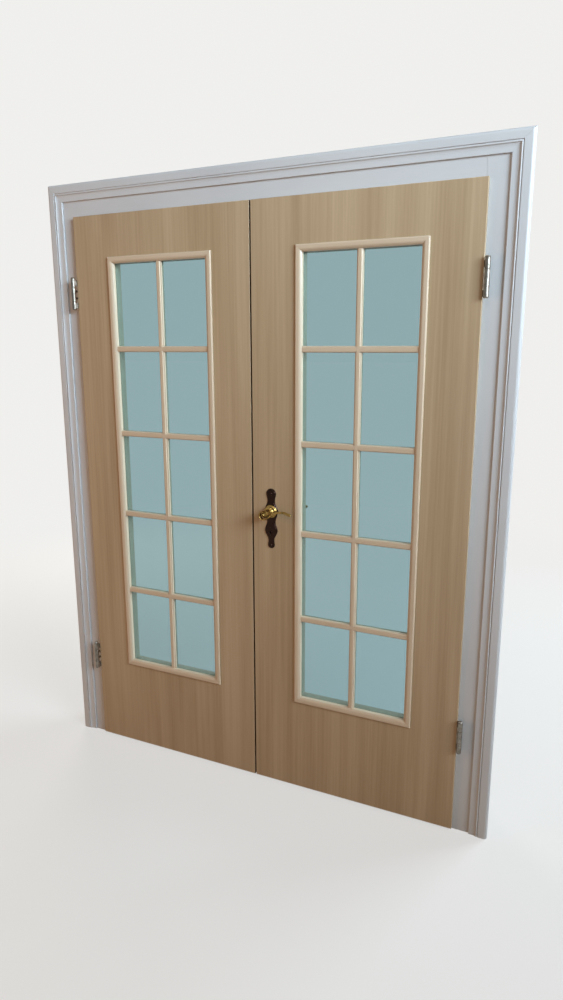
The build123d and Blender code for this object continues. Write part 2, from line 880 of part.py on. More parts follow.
with BuildPart() as lock_follower:
    with BuildSketch(elevation(edge_mid)):
        with Locations((spindle_x, spindle_z)):
            Circle(follower_radius)
    extrude(amount=latch_thickness / 2, both=True)
    with BuildSketch(elevation(edge_mid)):
        arm_side = follower_arm_width / 2
        span(spindle_x - arm_side, spindle_x + arm_side, spindle_z, spindle_z + follower_arm)
    extrude(amount=tail_thickness / 2, both=True)
    with BuildSketch(elevation(edge_mid)):
        with Locations((spindle_x, spindle_z)):
            Circle(journal_radius)
    extrude(amount=case_thickness / 2, both=True)
    with BuildSketch(elevation(edge_mid)):
        with Locations((spindle_x, spindle_z)):
            Rectangle(spindle_side, spindle_side)
    extrude(amount=case_thickness, both=True, mode=Mode.SUBTRACT)
save(lock_follower.part, "lock_follower")

tail_low = spindle_z + follower_arm + tail_gap
hook_x = spindle_x + arm_side + hook_gap
with BuildPart() as latch_bolt:
    with BuildSketch(Plane.XY.offset(latch_z - latch_height / 2)):
        with BuildLine():
            latch_front = edge_mid - latch_thickness / 2
            latch_back = edge_mid + latch_thickness / 2
            Polyline(
                (active_edge + latch_body, latch_front),
                (active_edge + latch_body, latch_back),
                (active_edge, latch_back),
                (active_edge - latch_reach, latch_front + latch_nose),
                (active_edge - latch_reach, latch_front),
                close=True,
            )
        make_face()
    extrude(amount=latch_height)
    with BuildSketch(elevation(edge_mid)):
        span(active_edge + latch_body, hook_x + hook_thickness, tail_low, tail_low + tail_height)
        span(hook_x, hook_x + hook_thickness, spindle_z + follower_radius + tail_gap, tail_low)
    extrude(amount=tail_thickness / 2, both=True)
save(latch_bolt.part, "latch_bolt")

with BuildPart() as dead_bolt:
    with BuildSketch(elevation(edge_mid)):
        span(active_edge, active_edge + bolt_body, bolt_z - bolt_height / 2, bolt_z + bolt_height / 2)
    extrude(amount=bolt_thickness / 2, both=True)
    with BuildSketch(elevation(edge_mid)):
        span(
            active_edge + bolt_body, active_edge + bolt_body + bolt_tail_length,
            bolt_z - bolt_height / 2, bolt_z,
        )
        with Locations((spindle_x, bolt_z - bolt_height / 2)):
            Rectangle(talon_width, 2 * talon_depth, mode=Mode.SUBTRACT)
    extrude(amount=bolt_tail_thickness / 2, both=True)
save(dead_bolt.part, "dead_bolt")


# The handles: a waisted plate on each face of the leaf, and a scrolled lever on each end of the spindle

handle_place = Plane(origin=(spindle_x, leaf_front, spindle_z), x_dir=RIGHT, z_dir=-BACK)
leaf_middle = Plane(origin=(0, leaf_front + leaf_thickness / 2, 0), z_dir=BACK)
plate_proud = plate_thickness + plate_relief
hub_start = plate_proud + hub_clearance


def plate_outline(inset):
    """The waisted outline of a handle plate, drawn in by an inset, round the spindle."""
    sides = (
        (knob_half, knob_rise),
        (upper_waist_half, upper_waist_rise),
        (bulge_half, 0),
        (lower_waist_half, -lower_waist_drop),
        (lobe_half, -lobe_drop),
        (stem_half, -stem_drop),
        (foot_half, -foot_drop),
    )
    with BuildSketch() as outline:
        with BuildLine():
            half_outline = Spline(
                (0, plate_top - inset),
                *[(half - inset, rise) for half, rise in sides],
                (0, inset - plate_foot),
                tangents=((1, 0), *[(0, -1) for _ in sides], (-1, 0)),
            )
            mirror(half_outline, about=Plane.YZ)
        make_face()
    return outline.sketch


with BuildPart() as front_screws:
    for rise in (knob_rise, -foot_drop):
        with BuildSketch(handle_place.offset(plate_proud)):
            with Locations((0, rise)):
                Circle(screw_head)
        extrude(amount=screw_dome)
    fillet(front_screws.faces().sort_by(Axis.Y)[:2].edges(), radius=screw_dome_round)
    with BuildSketch(handle_place.offset(plate_proud)):
        with Locations((0, knob_rise), (0, -foot_drop)):
            Circle(screw_radius)
    extrude(amount=-screw_length)
with BuildPart() as plate_screws:
    add(front_screws.part)
    add(mirror(front_screws.part, about=leaf_middle))

with BuildPart() as front_plate:
    with BuildSketch(handle_place):
        add(plate_outline(0))
    extrude(amount=plate_thickness)
    with BuildSketch(handle_place.offset(plate_thickness)):
        add(plate_outline(plate_margin))
    extrude(amount=plate_relief)
    with BuildSketch(handle_place):
        Circle(spindle_hole)
    extrude(amount=plate_proud, mode=Mode.SUBTRACT)
    with BuildSketch(elevation(leaf_front)):
        add(keyhole(0))
    extrude(amount=plate_proud, mode=Mode.SUBTRACT)
    add(front_screws.part, mode=Mode.SUBTRACT)
save(front_plate.part, "front_plate")
save(mirror(front_plate.part, about=leaf_middle), "back_plate")
save(plate_screws.part, "plate_screws")

# The lever's middle line: a scroll beside the hub, then a blade that dips under it and waves out
lever_line = Spline(
    (-2, 5.5), (-9, 8), (-15.5, 4), (-17, -4), (-14, -12.5), (-7, -17.5), (2, -16.5),
    (13, -10), (25, -1.5), (36, 5.5), (47, 10), (60, 12), (74, 10.5), (85, 7), (94, 4.5),
)
lever_stations = [step / lever_steps for step in range(lever_steps + 1)]


def lever_half(station):
    """Half the height of the lever at a station from its scroll (0) to its tip (1)."""
    if station < scroll_end:
        return scroll_half
    if station < blade_end:
        return scroll_half + (blade_half - scroll_half) * (station - scroll_end) / (blade_end - scroll_end)
    return blade_half + (tip_half - blade_half) * (station - blade_end) / (1 - blade_end)


def lever_side(sign):
    """Points along one side of the lever."""
    points = []
    for station in lever_stations:
        tangent = lever_line % station
        across = Vector(-tangent.Y, tangent.X, 0)
        points.append(lever_line @ station + across * (sign * lever_half(station)))
    return points


blade_reach = (lever_line @ 1).X + 2 * tip_half
upper_side = lever_side(1)
lower_side = lever_side(-1)
with BuildPart() as blade:
    with BuildSketch(handle_place.offset(lever_axis)):
        with BuildLine():
            Spline(*upper_side)
            Spline(*lower_side)
            ThreePointArc(upper_side[0], lever_line @ 0 - (lever_line % 0) * scroll_half, lower_side[0])
            ThreePointArc(upper_side[-1], lever_line @ 1 + (lever_line % 1) * tip_half, lower_side[-1])
        make_face()
    extrude(amount=handle_reach - lever_axis, both=True)
    with BuildSketch(Plane(origin=(spindle_x, leaf_front - lever_axis, spindle_z), x_dir=RIGHT, z_dir=UP)):
        with BuildLine():
            scroll_side = handle_reach - lever_axis
            Polyline(
                (-blade_reach, -scroll_side), (taper_start, -scroll_side), (taper_end, -blade_depth / 2),
                (blade_reach, -blade_depth / 2), (blade_reach, blade_depth / 2), (taper_end, blade_depth / 2),
                (taper_start, scroll_side), (-blade_reach, scroll_side), close=True,
            )
        make_face()
    extrude(amount=blade_reach, both=True, mode=Mode.INTERSECT)

with BuildPart() as front_lever:
    add(blade.part)
    with BuildSketch(Plane(origin=(spindle_x, leaf_front, spindle_z), x_dir=RIGHT, z_dir=UP)):
        with BuildLine():
            waist_start = hub_start + hub_length
            collar_start = waist_start + waist_length
            collar_end = collar_start + collar_length
            neck_end = handle_reach - neck_inset
            Polyline((0, -hub_start), (hub_radius, -hub_start), (hub_radius, hub_round - waist_start))
            RadiusArc(
                (hub_radius, hub_round - waist_start), (hub_radius - hub_round, -waist_start), hub_round
            )
            Polyline(
                (hub_radius - hub_round, -waist_start),
                (waist_radius, -waist_start),
                (waist_radius, -collar_start),
                (collar_radius - collar_round, -collar_start),
            )
            RadiusArc(
                (collar_radius - collar_round, -collar_start),
                (collar_radius, -collar_start - collar_round), collar_round,
            )
            Line((collar_radius, -collar_start - collar_round), (collar_radius, collar_round - collar_end))
            RadiusArc(
                (collar_radius, collar_round - collar_end), (collar_radius - collar_round, -collar_end),
                collar_round,
            )
            Polyline(
                (collar_radius - collar_round, -collar_end), (neck_radius, -collar_end),
                (neck_radius, -neck_end), (0, -neck_end), (0, -hub_start),
            )
        make_face()
    revolve(axis=Axis((spindle_x, leaf_front, spindle_z), BACK))
    with BuildSketch(handle_place.offset(hub_start)):
        Rectangle(spindle_side, spindle_side)
    extrude(amount=spindle_grip, mode=Mode.SUBTRACT)
save(front_lever.part, "front_lever")
save(mirror(front_lever.part, about=leaf_middle), "back_lever")

with BuildPart() as spindle:
    with BuildSketch(handle_place.offset(hub_start + spindle_grip)):
        Rectangle(spindle_side, spindle_side)
    extrude(amount=-2 * (hub_start + spindle_grip) - leaf_thickness)
save(spindle.part, "spindle")

with BuildPart() as active_slab:
    add(slab(active_lip_edge, half_pair, active_edge, half_pair - lip_width, active_light_x))
    add(stud_bores(1), mode=Mode.SUBTRACT)
    add(brads["active"], mode=Mode.SUBTRACT)
    with BuildSketch(side_view(active_edge)):
        span(edge_mid - forend_width / 2, edge_mid + forend_width / 2, forend_low, forend_top)
    extrude(amount=forend_thickness, mode=Mode.SUBTRACT)
    with BuildSketch(side_view(active_edge)):
        room = case_thickness / 2 + mortise_fit
        span(edge_mid - room, edge_mid + room, case_low - mortise_fit, case_top + mortise_fit)
    extrude(amount=case_depth + mortise_fit, mode=Mode.SUBTRACT)
    with BuildSketch(elevation(leaf_front)):
        with Locations((spindle_x, spindle_z)):
            Circle(spindle_room)
        add(keyhole(key_clear))
    extrude(amount=-leaf_thickness, mode=Mode.SUBTRACT)
    add(lock_screws, mode=Mode.SUBTRACT)
    add(plate_screws.part, mode=Mode.SUBTRACT)
save(active_slab.part, "active_slab")


# The strike and the flush bolts in the edge of the other leaf

strike_top = spindle_z + strike_above
strike_low = strike_top - strike_height
pocket_front = edge_mid - latch_thickness / 2 - latch_front_play
pocket_back = edge_mid + latch_thickness / 2 + latch_back_play

strike_screws = countersunk(
    [
        Plane(origin=(passive_edge, edge_mid, height), z_dir=RIGHT)
        for height in (strike_low + edge_screw_inset, strike_top - edge_screw_inset)
    ],
    edge_screw_length,
)
with BuildSketch(side_view(passive_edge)) as pockets:
    for height, half in ((latch_z, latch_height / 2), (bolt_z, bolt_height / 2)):
        span(pocket_front, pocket_back, height - half - strike_play, height + half + strike_play)

with BuildPart() as strike_plate:
    with BuildSketch(side_view(passive_edge)):
        span(edge_mid - strike_width / 2, edge_mid + strike_width / 2, strike_low, strike_top)
        add(pockets.sketch_local, mode=Mode.SUBTRACT)
    extrude(amount=-strike_thickness)
    add(strike_screws, mode=Mode.SUBTRACT)
save(strike_plate.part, "strike_plate")

# Each flush bolt is set out from its end of the leaf: the end's height and the way out of it
flush_bolts = {"top": (body_top, 1), "bottom": (leaf_bottom, -1)}
plate_far = flush_plate_margin + flush_plate_length
plate_centre = flush_plate_margin + flush_plate_length / 2
case_near = plate_centre - flush_case_length / 2
tab_rest = plate_centre + rod_travel / 2

flush_screws = countersunk(
    [
        Plane(origin=(passive_edge, edge_mid, end - way * inward), z_dir=RIGHT)
        for end, way in flush_bolts.values()
        for inward in (flush_plate_margin + edge_screw_inset, plate_far - edge_screw_inset)
    ],
    short_screw_length,
)

for name, (end, way) in flush_bolts.items():
    with BuildPart() as rod:
        with BuildSketch(Plane.XY.offset(end - way * rod_inset)):
            with Locations((rod_x, edge_mid)):
                Circle(rod_radius)
        extrude(amount=-way * rod_length)
        with BuildSketch(side_view(rod_x)):
            with Locations((edge_mid, end - way * tab_rest)):
                Rectangle(tab_width, tab_height)
        extrude(amount=rod_backset)
    save(rod.part, f"{name}_flush_bolt")

with BuildPart() as flush_blanks:
    for end, way in flush_bolts.values():
        with BuildSketch(side_view(passive_edge)):
            with Locations((edge_mid, end - way * plate_centre)):
                Rectangle(forend_width, flush_plate_length)
        extrude(amount=-flush_plate_thickness)
        with BuildSketch(side_view(passive_edge)):
            with Locations((edge_mid, end - way * plate_centre)):
                Rectangle(flush_case_width, flush_case_length)
        extrude(amount=-flush_case_depth)

with BuildPart() as flush_cases:
    add(flush_blanks.part)
    for end, way in flush_bolts.values():
        with BuildSketch(Plane.XY.offset(end - way * case_near)):
            with Locations((rod_x, edge_mid)):
                Circle(rod_radius + rod_fit)
        extrude(amount=-way * flush_case_length, mode=Mode.SUBTRACT)
        with BuildSketch(side_view(rod_x)):
            with Locations((edge_mid, end - way * plate_centre)):
                Rectangle(
                    tab_width + 2 * tab_clearance, tab_height + rod_travel + 2 * tab_clearance
                )
        extrude(amount=rod_backset, mode=Mode.SUBTRACT)
    add(flush_screws, mode=Mode.SUBTRACT)
save(flush_cases.part, "flush_cases")

with BuildPart() as edge_screws:
    add(strike_screws)
    add(flush_screws)
save(edge_screws.part, "edge_screws")

with BuildPart() as passive_slab:
    add(slab(passive_face_edge, -half_pair, passive_face_edge, lip_width - half_pair, passive_light_x))
    with BuildSketch(elevation(frame_front)):
        span(passive_face_edge, passive_edge, leaf_bottom, body_top)
    extrude(amount=frame_front - leaf_back)
    add(stud_bores(-1), mode=Mode.SUBTRACT)
    add(brads["passive"], mode=Mode.SUBTRACT)
    with BuildSketch(side_view(passive_edge)):
        span(edge_mid - strike_width / 2, edge_mid + strike_width / 2, strike_low, strike_top)
    extrude(amount=-strike_thickness, mode=Mode.SUBTRACT)
    with BuildSketch(side_view(passive_edge)):
        add(pockets.sketch_local)
    extrude(amount=-pocket_depth, mode=Mode.SUBTRACT)
    for end, way in flush_bolts.values():
        with BuildSketch(Plane.XY.offset(end)):
            with Locations((rod_x, edge_mid)):
                Circle(rod_radius + rod_channel)
        extrude(amount=-way * plate_centre, mode=Mode.SUBTRACT)
    add(flush_blanks.part, mode=Mode.SUBTRACT)
    add(edge_screws.part, mode=Mode.SUBTRACT)
save(passive_slab.part, "passive_slab")
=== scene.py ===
import math

import bmesh
import bpy
from mathutils import Matrix, Vector


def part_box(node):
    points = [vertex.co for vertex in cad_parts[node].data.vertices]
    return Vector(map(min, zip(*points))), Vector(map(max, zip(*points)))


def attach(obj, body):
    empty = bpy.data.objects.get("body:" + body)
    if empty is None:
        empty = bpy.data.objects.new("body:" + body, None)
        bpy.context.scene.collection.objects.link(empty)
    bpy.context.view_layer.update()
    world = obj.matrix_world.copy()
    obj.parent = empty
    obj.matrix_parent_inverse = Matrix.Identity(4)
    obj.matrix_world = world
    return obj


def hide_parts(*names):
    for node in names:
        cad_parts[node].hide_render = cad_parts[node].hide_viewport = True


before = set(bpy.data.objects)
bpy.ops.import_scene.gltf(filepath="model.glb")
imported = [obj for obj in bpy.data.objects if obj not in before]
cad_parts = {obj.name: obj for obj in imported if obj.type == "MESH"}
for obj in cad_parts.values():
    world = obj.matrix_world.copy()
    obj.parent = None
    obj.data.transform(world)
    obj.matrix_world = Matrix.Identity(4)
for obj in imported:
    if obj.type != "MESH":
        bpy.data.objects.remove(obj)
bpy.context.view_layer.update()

# The viewpoint: someone standing to the right of the doors at head height, looking down a little.
# The lens and the angles are those at which the doors line up with the photograph.


def new_object(name, data):
    """An object made from its data and put into the scene."""
    made = bpy.data.objects.new(name, data)
    bpy.context.scene.collection.objects.link(made)
    return made


camera_data = bpy.data.cameras.new("viewpoint")
camera_data.sensor_fit = "VERTICAL"
camera_data.sensor_height = 36.0
camera_data.lens = 25.019
camera_data.clip_end = 200.0
camera = new_object("viewpoint", camera_data)
eye = Vector((1.0457, -2.09215, 1.5552))
yaw, pitch, roll = math.radians(-25.035), math.radians(12.585), math.radians(-0.119)
level_forward = Vector((math.sin(yaw), math.cos(yaw), 0.0))
level_right = Vector((math.cos(yaw), -math.sin(yaw), 0.0))
forward = level_forward * math.cos(pitch) - Vector((0.0, 0.0, math.sin(pitch)))
tipped_up = Vector((0.0, 0.0, math.cos(pitch))) + level_forward * math.sin(pitch)
across = level_right * math.cos(roll) + tipped_up * math.sin(roll)
upward = tipped_up * math.cos(roll) - level_right * math.sin(roll)
turned_view = Matrix((across, upward, -forward)).transposed()
camera.matrix_world = Matrix.Translation(eye) @ turned_view.to_4x4()
bpy.context.scene.camera = camera

# The studio: a pale floor that fades into a pale surround. Two cool lights on the right stand for
# tall windows, warm ones on the left, above and low in front fill the shadows, and two more light
# the far side as the room behind would.
bpy.context.scene.view_settings.view_transform = "Standard"


def add_node(tree, kind, numbered=(), **named):
    """A node with its settings, in small letters, and its inputs, numbered or with a capital."""
    made = tree.nodes.new(kind)
    inputs = dict(numbered)
    for name, value in named.items():
        if name[0].isupper():
            inputs[name.replace("_", " ")] = value
        else:
            setattr(made, name, value)
    for socket, value in inputs.items():
        if isinstance(value, bpy.types.NodeSocket):
            tree.links.new(value, made.inputs[socket])
        else:
            made.inputs[socket].default_value = value
    return made


def result(tree, kind, numbered=(), **named):
    """What a new node puts out first."""
    return add_node(tree, kind, numbered, **named).outputs[0]


def emptied_tree(owner):
    """The nodes of a world or a material, with nothing in them yet."""
    owner.use_nodes = True
    owner.node_tree.nodes.clear()
    return owner.node_tree


def maths(tree, operation, *values, clamp=False):
    """The result of one operation on numbers or links."""
    return result(
        tree, "ShaderNodeMath", dict(enumerate(values)), operation=operation, use_clamp=clamp
    )


def mapped(tree, value, from_min, from_max, to_min, to_max, **settings):
    """A value taken from one range to another."""
    return result(
        tree, "ShaderNodeMapRange", Value=value, From_Min=from_min, From_Max=from_max,
        To_Min=to_min, To_Max=to_max, **settings,
    )


def blended(tree, weight, first, second):
    """A colour between two others."""
    return add_node(
        tree, "ShaderNodeMix", {6: first, 7: second}, data_type="RGBA", Factor=weight
    ).outputs[2]


def seen_directly(tree, mirrored=1.0):
    """1 for what the lens or a look through the glass meets, a share for what a mirror meets."""
    rays = add_node(tree, "ShaderNodeLightPath").outputs
    clear = maths(tree, "MAXIMUM", rays["Is Camera Ray"], rays["Is Transmission Ray"])
    return maths(tree, "MAXIMUM", clear, maths(tree, "MULTIPLY", rays["Is Glossy Ray"], mirrored))


surround = (0.87, 0.865, 0.85, 1.0)
world = bpy.data.worlds.new("studio")
bpy.context.scene.world = world
sky = emptied_tree(world)
ambient = result(sky, "ShaderNodeBackground", Color=(1.0, 0.95, 0.84, 1.0), Strength=0.05)
direction = add_node(sky, "ShaderNodeTexCoord").outputs["Generated"]
facing = add_node(sky, "ShaderNodeSeparateXYZ", {0: direction}).outputs
below_ceiling = mapped(sky, facing["Z"], 0.15, 0.5, 1.0, 0.55)
dim_front = mapped(sky, facing["Y"], -0.4, 0.3, 0.75, 0.0)
rays = add_node(sky, "ShaderNodeLightPath").outputs
mirrored_dim = maths(
    sky, "SUBTRACT", rays["Is Glossy Ray"], rays["Is Transmission Ray"], clamp=True
)
for share in (dim_front, below_ceiling):
    mirrored_dim = maths(sky, "MULTIPLY", mirrored_dim, share)
backdrop_level = maths(sky, "SUBTRACT", 1.0, mirrored_dim)
backdrop = result(sky, "ShaderNodeBackground", Color=surround, Strength=backdrop_level)
world_mix = result(sky, "ShaderNodeMixShader", {0: seen_directly(sky), 1: ambient, 2: backdrop})
add_node(sky, "ShaderNodeOutputWorld", Surface=world_mix)

floor_material = bpy.data.materials.new("studio_floor")
floor_tree = emptied_tree(floor_material)
floor_place = add_node(floor_tree, "ShaderNodeTexCoord").outputs["Object"]
floor_radius = add_node(floor_tree, "ShaderNodeVectorMath", {0: floor_place}, operation="LENGTH")
fading = mapped(
    floor_tree, floor_radius.outputs["Value"], 0.8, 4.5, 0.6, 1.0, interpolation_type="SMOOTHERSTEP"
)
floor_seen = seen_directly(floor_tree, 0.38)
floor_colour = blended(floor_tree, floor_seen, (0.34, 0.27, 0.20, 1.0), (0.84, 0.83, 0.81, 1.0))
floor_matte = result(floor_tree, "ShaderNodeBsdfDiffuse", Color=floor_colour)
floor_glow = result(floor_tree, "ShaderNodeEmission", Color=surround, Strength=1.0)
floor_mix = result(
    floor_tree, "ShaderNodeMixShader",
    {0: maths(floor_tree, "MULTIPLY", fading, floor_seen), 1: floor_matte, 2: floor_glow},
)
add_node(floor_tree, "ShaderNodeOutputMaterial", Surface=floor_mix)
floor_mesh = bpy.data.meshes.new("studio_floor")
floor_reach = 60.0
floor_mesh.from_pydata(
    [(x * floor_reach, y * floor_reach, 0.0) for x, y in ((-1, -1), (1, -1), (1, 1), (-1, 1))],
    [], [(0, 1, 2, 3)],
)
floor_mesh.materials.append(floor_material)
floor = new_object("studio_floor", floor_mesh)


def soft_light(name, place, target, size, watts, colour, spread=math.pi, mirrored=False):
    """A large lamp behind a diffuser, aimed at a point and out of the picture."""
    lamp = bpy.data.lights.new(name, "AREA")
    lamp.shape = "RECTANGLE"
    lamp.size, lamp.size_y = size
    lamp.energy = watts
    lamp.color = colour
    lamp.spread = spread
    holder = new_object(name, lamp)
    aim = (Vector(target) - Vector(place)).to_track_quat("-Z", "Y")
    holder.matrix_world = Matrix.Translation(place) @ aim.to_matrix().to_4x4()
    holder.visible_camera = holder.visible_transmission = False
    holder.visible_glossy = mirrored


warm = (1.0, 0.59, 0.35)
window_spread = math.radians(84.0)
soft_light(
    "window_light", (4.0, -2.2, 3.3), (0.3, 0.0, 3.0), (2.2, 2.0), 83.0, (0.65, 0.85, 1.0),
    window_spread, True,
)
soft_light(
    "side_window_light", (4.6, -1.15, 2.3), (0.0, 0.0, 1.1), (1.6, 1.8), 54.0, (1.0, 0.95, 0.97),
    mirrored=True,
)
soft_light("room_light", (-3.0, -2.8, 1.5), (0.0, 0.0, 0.9), (1.8, 1.6), 40.0, warm)
soft_light("floor_bounce", (0.3, -2.2, 0.45), (0.2, 0.0, 0.45), (2.4, 0.7), 3.2, warm)
soft_light(
    "ceiling_light", (0.7, -1.7, 3.1), (0.3, 0.0, 1.0), (0.9, 0.5), 6.0, (1.0, 0.93, 0.84),
    mirrored=True,
)
soft_light("far_room_fill", (-2.8, 3.0, 1.6), (0.0, 0.0, 1.0), (1.8, 1.6), 90.0, (1.0, 0.92, 0.82))
soft_light("far_room_light", (2.9, 3.0, 2.8), (0.0, 0.0, 1.2), (2.4, 2.0), 175.0, (0.76, 0.89, 1.0))

# The frame boards: two softwood posts with the head board set between them, butted and painted
# in one white satin enamel. The paint keeps the faint strokes of the brush along each board.


def new_surface(name, **constants):
    """A material with its shader, and the shader's plain values set on it."""
    material = bpy.data.materials.new(name)
    tree = emptied_tree(material)
    shader = add_node(tree, "ShaderNodeBsdfPrincipled", **constants)
    add_node(tree, "ShaderNodeOutputMaterial", Surface=shader.outputs[0])
    return material, tree, shader


def driven_by(tree, shader, height, strength, depth, **channels):
    """Lets patterns set the shader's channels and roughen its surface."""
    for socket, source in channels.items():
        tree.links.new(source, shader.inputs[socket.replace("_", " ")])
    bump = result(tree, "ShaderNodeBump", Strength=strength, Distance=depth, Height=height)
    tree.links.new(bump, shader.inputs["Normal"])


def ramp(tree, factor, stops):
    """The colour between stops, each a position and a colour."""
    made = add_node(tree, "ShaderNodeValToRGB", {0: factor})
    band = made.color_ramp
    while len(band.elements) < len(stops):
        band.elements.new(0.5)
    for element, (position, colour) in zip(band.elements, stops):
        element.position = position
        element.color = (*colour, 1.0)
    return made.outputs["Color"]


def turned_place(tree, turn):
    """Places on the piece, turned along its grain or brush strokes."""
    place = add_node(tree, "ShaderNodeTexCoord").outputs["Object"]
    return result(tree, "ShaderNodeMapping", Vector=place, Rotation=turn)


def stretched(tree, scale, turn=(0.0, 0.0, 0.0)):
    """Those places drawn out along the piece."""
    return result(tree, "ShaderNodeMapping", Vector=turned_place(tree, turn), Scale=scale)


def noise(tree, place, scale, detail, **inputs):
    """A cloudy pattern over places."""
    return add_node(
        tree, "ShaderNodeTexNoise", Vector=place, Scale=scale, Detail=detail, **inputs
    ).outputs["Fac"]


LEVEL = (0.0, math.pi / 2, 0.0)
UPRIGHT = (0.0, 0.0, 0.0)


def white_enamel(name, turn):
    """White satin enamel, brushed along the piece, a little greyer where hands and dust reach."""
    material, tree, shader = new_surface(
        name, Roughness=0.42, Coat_Weight=0.12, Coat_Roughness=0.25
    )
    strokes = noise(tree, stretched(tree, (900.0, 900.0, 14.0), turn), 1.0, 3.0)
    clouds = noise(tree, stretched(tree, (5.0, 5.0, 2.5), turn), 1.0, 4.0)
    colour = ramp(
        tree, maths(tree, "MULTIPLY_ADD", strokes, 0.25, clouds),
        ((0.35, (0.555, 0.558, 0.568)), (0.62, (0.60, 0.602, 0.608)), (0.9, (0.63, 0.632, 0.634))),
    )
    driven_by(tree, shader, strokes, 0.12, 0.0004, Base_Color=colour)
    return material


enamel_upright = white_enamel("frame_paint_upright", UPRIGHT)
enamel_level = white_enamel("frame_paint_level", LEVEL)
flat_crease = math.radians(40.0)
touching = 1e-6


def finish_mesh(mesh, crease=flat_crease):
    """Smooth shading with crisp arrises where two faces meet at more than the crease."""
    mesh.shade_smooth()
    mesh.set_sharp_from_angle(angle=crease)


def fit(name, mesh, material, body, slot, *nodes):
    """Puts a finished mesh on its body, in place of the plain nodes that it stands for."""
    if material:
        mesh.materials.clear()
        mesh.materials.append(material)
    piece = new_object(name, mesh)
    piece.modifiers.new("even_shading", "WEIGHTED_NORMAL").keep_sharp = True
    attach(piece, body)
    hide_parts(*nodes)


def split_large_faces(work):
    """Cuts faces of more than four corners into triangles."""
    bmesh.ops.triangulate(work, faces=[face for face in work.faces if len(face.verts) > 4])


def made_mesh(work, name):
    """The mesh of what was worked on."""
    mesh = bpy.data.meshes.new(name)
    work.to_mesh(mesh)
    work.free()
    return mesh


def eased_mesh(node, easing, shortest=0.3):
    """A copy of a plain piece with its flat faces joined and its long outer arrises rounded."""
    work = bmesh.new()
    work.from_mesh(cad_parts[node].data)
    bmesh.ops.remove_doubles(work, verts=work.verts, dist=touching)
    flatness, corner_angle = math.radians(0.8), math.radians(50.0)
    bmesh.ops.dissolve_limit(work, angle_limit=flatness, verts=work.verts, edges=work.edges)
    work.normal_update()
    arrises = [
        edge for edge in work.edges
        if len(edge.link_faces) == 2 and edge.calc_length() > shortest
        and edge.is_convex and edge.calc_face_angle() > corner_angle
    ]
    if easing:
        bmesh.ops.bevel(
            work, geom=arrises, offset=easing, offset_type="OFFSET", segments=3, profile=0.5,
            affect="EDGES", clamp_overlap=False,
        )
    split_large_faces(work)
    mesh = made_mesh(work, node + "_eased")
    # The plain piece brings stored normals, which would hide the new edges.
    plain_normals = mesh.attributes.get("custom_normal")
    if plain_normals:
        mesh.attributes.remove(plain_normals)
    finish_mesh(mesh)
    return mesh


for board in (
    "left_post", "right_post", "head_board", "left_lining", "right_lining", "head_lining",
):
    enamel = enamel_level if board.startswith("head") else enamel_upright
    fit(board + "_painted", eased_mesh(board, 0.0008), enamel, "frame", "frame_paint", board)

# The mouldings and the casings on the far side: planed lengths of softwood with their section run
# along them, mitred at the top corners, nailed over the joint with the wall and painted in place.


def new_tree(name, kind, inputs, outputs):
    """A node tree with its named inputs and outputs, and the sockets that its inputs give."""
    tree = bpy.data.node_groups.new(name, kind)
    for way, sockets in (("INPUT", inputs), ("OUTPUT", outputs)):
        for socket, form in sockets.items():
            tree.interface.new_socket(name=socket, in_out=way, socket_type="NodeSocket" + form)
    return tree, add_node(tree, "NodeGroupInput").outputs


def end_tree(tree, geometry, material):
    """Ends a tree in one real mesh with its material."""
    single = result(tree, "GeometryNodeRealizeInstances", Geometry=geometry)
    finished = result(tree, "GeometryNodeSetMaterial", Geometry=single, Material=material)
    add_node(tree, "NodeGroupOutput", {0: finished})
    return tree


def stored(tree, geometry, name, value):
    """A geometry that keeps a vector at each of its points under a name."""
    return result(
        tree, "GeometryNodeStoreNamedAttribute", data_type="FLOAT_VECTOR", domain="POINT",
        Geometry=geometry, Name=name, Value=value,
    )


def read(tree, name, kind="FLOAT_VECTOR"):
    """What a geometry keeps at each of its points under a name."""
    return add_node(
        tree, "GeometryNodeInputNamedAttribute", data_type=kind, Name=name
    ).outputs["Attribute"]


